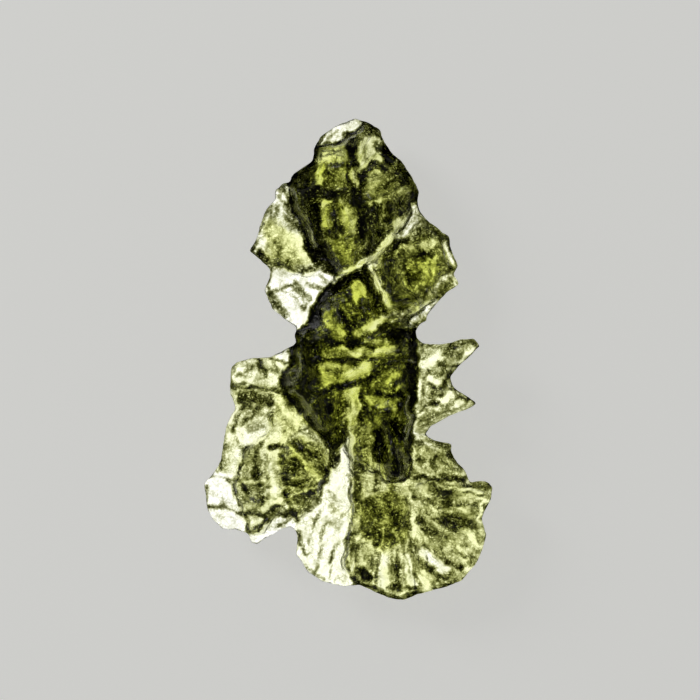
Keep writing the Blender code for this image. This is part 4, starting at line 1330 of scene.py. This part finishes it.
def totalShade(tree, place, grain):  # the drawn shade, the painted shade of the creases and the wrinkles, and the fine grain
    shade = attributeNode(tree, "shade")
    grainHere = mathNode(tree, "SUBTRACT", grain, 0.5)
    speckle = mathNode(tree, "MULTIPLY", grainHere, byShade(tree, shade, *glass["grainShade"]))
    wrinkles = mathNode(tree, "MAXIMUM", *[wrinkle(tree, place, *form) for form in glass["wrinkles"]])
    wrinkled = mathNode(tree, "SUBTRACT", wrinkles, glass["wrinkleMean"])
    contrast = byShade(tree, shade, *glass["wrinkleShade"])
    speckle = mathNode(tree, "MULTIPLY_ADD", wrinkled, contrast, speckle)
    total = mathNode(tree, "MULTIPLY_ADD", attributeNode(tree, "crease"), glass["creaseShade"], shade)
    return mathNode(tree, "MAXIMUM", mathNode(tree, "ADD", total, speckle), 0.0)


def colorOfLight(tree, total):  # what is left of red, green and blue
    tint = attributeNode(tree, "tint")
    color = tree.nodes.new("ShaderNodeCombineColor")
    for channel, fromShade, fromTint in zip(color.inputs, glass["shadeColors"], glass["tintColors"]):
        taken = mathNode(tree, "MULTIPLY", total, fromShade)
        taken = mathNode(tree, "MULTIPLY_ADD", tint, fromTint, taken)
        tree.links.new(lightAfter(tree, taken), channel)
    return color.outputs["Color"]


def grainBump(tree, grain):
    bump = tree.nodes.new("ShaderNodeBump")
    bump.inputs["Strength"].default_value, bump.inputs["Distance"].default_value = glass["bump"]
    tree.links.new(grain, bump.inputs["Height"])
    return bump.outputs["Normal"]


def moldaviteGlass():
    material = bpy.data.materials.new("moldaviteGlass")
    material.use_nodes = True
    tree = material.node_tree
    shader = tree.nodes["Principled BSDF"]
    shader.inputs["IOR"].default_value = glass["ior"]
    shader.inputs["Transmission Weight"].default_value = 1.0
    place = tree.nodes.new("ShaderNodeTexCoord").outputs["Object"]
    grain = noiseTexture(tree, place, *glass["grain"])
    patches = noiseTexture(tree, place, *glass["patches"])
    frosting = rangeNode(tree, patches, glass["patchRange"], glass["roughness"])
    tree.links.new(colorOfLight(tree, totalShade(tree, place, grain)), shader.inputs["Base Color"])
    tree.links.new(frosting, shader.inputs["Roughness"])
    tree.links.new(grainBump(tree, grain), shader.inputs["Normal"])
    inside = tree.nodes.new("ShaderNodeVolumeAbsorption")
    inside.inputs["Color"].default_value = glass["absorptionColor"]
    inside.inputs["Density"].default_value = glass["absorptionDensity"]
    tree.links.new(inside.outputs["Volume"], tree.nodes["Material Output"].inputs["Volume"])
    return material


studio = {
    "floorSize": 3.0,
    "floorColor": (0.8, 0.8, 0.78, 1.0),
    "floorRoughness": 0.8,
    "floorGlow": 0.66,
    "floorDrop": 0.00002,  # just under the stone
    "padDepth": 0.15,
    "padSize": 3.0,
    "padFade": (0.45, 0.95),  # the radius of its brightest part, and where it is dimmest
    "padStrength": (1.4, 0.9),
    "skyColor": (0.9, 0.92, 0.82, 1.0),
    "skyFade": (0.02, 0.42),  # how high the bright part near the horizon reaches, and where it ends
    "skyStrength": (0.5, 0.04),
    "keyEnergy": 0.25,
    "keySize": 0.16,
    "keyPlace": (-0.34, 0.26, 0.2),
    "lens": 120.0,
    "clip": (0.01, 10.0),  # a share of the camera's distance, and metres
}


def plane(name, size, height):
    shape = bmesh.new()
    bmesh.ops.create_grid(shape, x_segments=1, y_segments=1, size=size / 2)
    mesh = bpy.data.meshes.new(name)
    shape.to_mesh(mesh)
    shape.free()
    obj = addObject(name, mesh)
    obj.location.z = height
    return obj


def paleFloor():
    floor = plane("floor", studio["floorSize"], -studio["floorDrop"])
    material = bpy.data.materials.new("paleFloor")
    material.use_nodes = True
    shader = material.node_tree.nodes["Principled BSDF"]
    shader.inputs["Base Color"].default_value = studio["floorColor"]
    shader.inputs["Roughness"].default_value = studio["floorRoughness"]
    shader.inputs["Emission Color"].default_value = studio["floorColor"]
    shader.inputs["Emission Strength"].default_value = studio["floorGlow"]
    floor.data.materials.append(material)
    floor.visible_transmission = False  # the stone is seen against the pad, as on a light table
    floor.visible_glossy = False


def lightPad():
    pad = plane("lightPad", studio["padSize"], -studio["padDepth"])
    material = bpy.data.materials.new("lightPad")
    material.use_nodes = True
    tree = material.node_tree
    tree.nodes.clear()
    output = tree.nodes.new("ShaderNodeOutputMaterial")
    glow = tree.nodes.new("ShaderNodeEmission")
    distance = tree.nodes.new("ShaderNodeVectorMath")
    distance.operation = "LENGTH"
    tree.links.new(tree.nodes.new("ShaderNodeTexCoord").outputs["Object"], distance.inputs[0])
    strength = rangeNode(
        tree, distance.outputs["Value"], studio["padFade"], studio["padStrength"], "SMOOTHSTEP"
    )
    tree.links.new(strength, glow.inputs["Strength"])
    tree.links.new(glow.outputs["Emission"], output.inputs["Surface"])
    pad.data.materials.append(material)
    pad.visible_glossy = False


def softSky():  # bright near the horizon, dim overhead and dark below
    world = bpy.data.worlds.new("studio")
    bpy.context.scene.world = world
    world.use_nodes = True
    tree = world.node_tree
    background = tree.nodes["Background"]
    background.inputs["Color"].default_value = studio["skyColor"]
    direction = tree.nodes.new("ShaderNodeSeparateXYZ")
    tree.links.new(tree.nodes.new("ShaderNodeTexCoord").outputs["Generated"], direction.inputs["Vector"])
    height = direction.outputs["Z"]
    strength = rangeNode(tree, height, studio["skyFade"], studio["skyStrength"], "SMOOTHSTEP")
    above = mathNode(tree, "GREATER_THAN", height, 0.0)
    tree.links.new(mathNode(tree, "MULTIPLY", strength, above), background.inputs["Strength"])


def keyLight():
    light = bpy.data.lights.new("key", "AREA")
    light.energy = studio["keyEnergy"]
    light.size = studio["keySize"]
    key = addObject("key", light)
    key.location = studio["keyPlace"]
    key.rotation_euler = (-key.location).to_track_quat("-Z", "Y").to_euler()


def photoCamera():
    data = bpy.data.cameras.new("camera")
    data.lens = studio["lens"]
    camera = addObject("camera", data)
    width = sheet["photoWidth"] * square
    middle = (cadLow.z + cadHigh.z) / 2
    distance = width * data.lens / data.sensor_width
    camera.location = toStone(sheet["photoCentre"], middle + distance)
    data.clip_start, data.clip_end = distance * studio["clip"][0], studio["clip"][1]
    bpy.context.scene.camera = camera


underside, front, shade, tint = heightPlans()
print("planned:", underside.shape[1], "by", underside.shape[0], "squares, and", len(drawnTones()), "tones")
moldavite = cutBlank()
sculpt(moldavite, underside, front)
print("sculpted:", len(moldavite.data.vertices), "points")
regrid(moldavite, stone["skinGrid"])
etch(moldavite, shade, tint, front - underside)
print("etched:", len(moldavite.data.polygons), "faces")
moldavite.data.materials.clear()
moldavite.data.materials.append(moldaviteGlass())
print("glass made, with", len(moldavite.data.materials[0].node_tree.nodes), "nodes")
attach(moldavite, "root")
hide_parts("moldavite")
paleFloor()
lightPad()
softSky()
keyLight()
photoCamera()
bpy.context.scene.view_settings.view_transform = "Standard"
print("studio set: floor, light pad, sky, key light and camera")
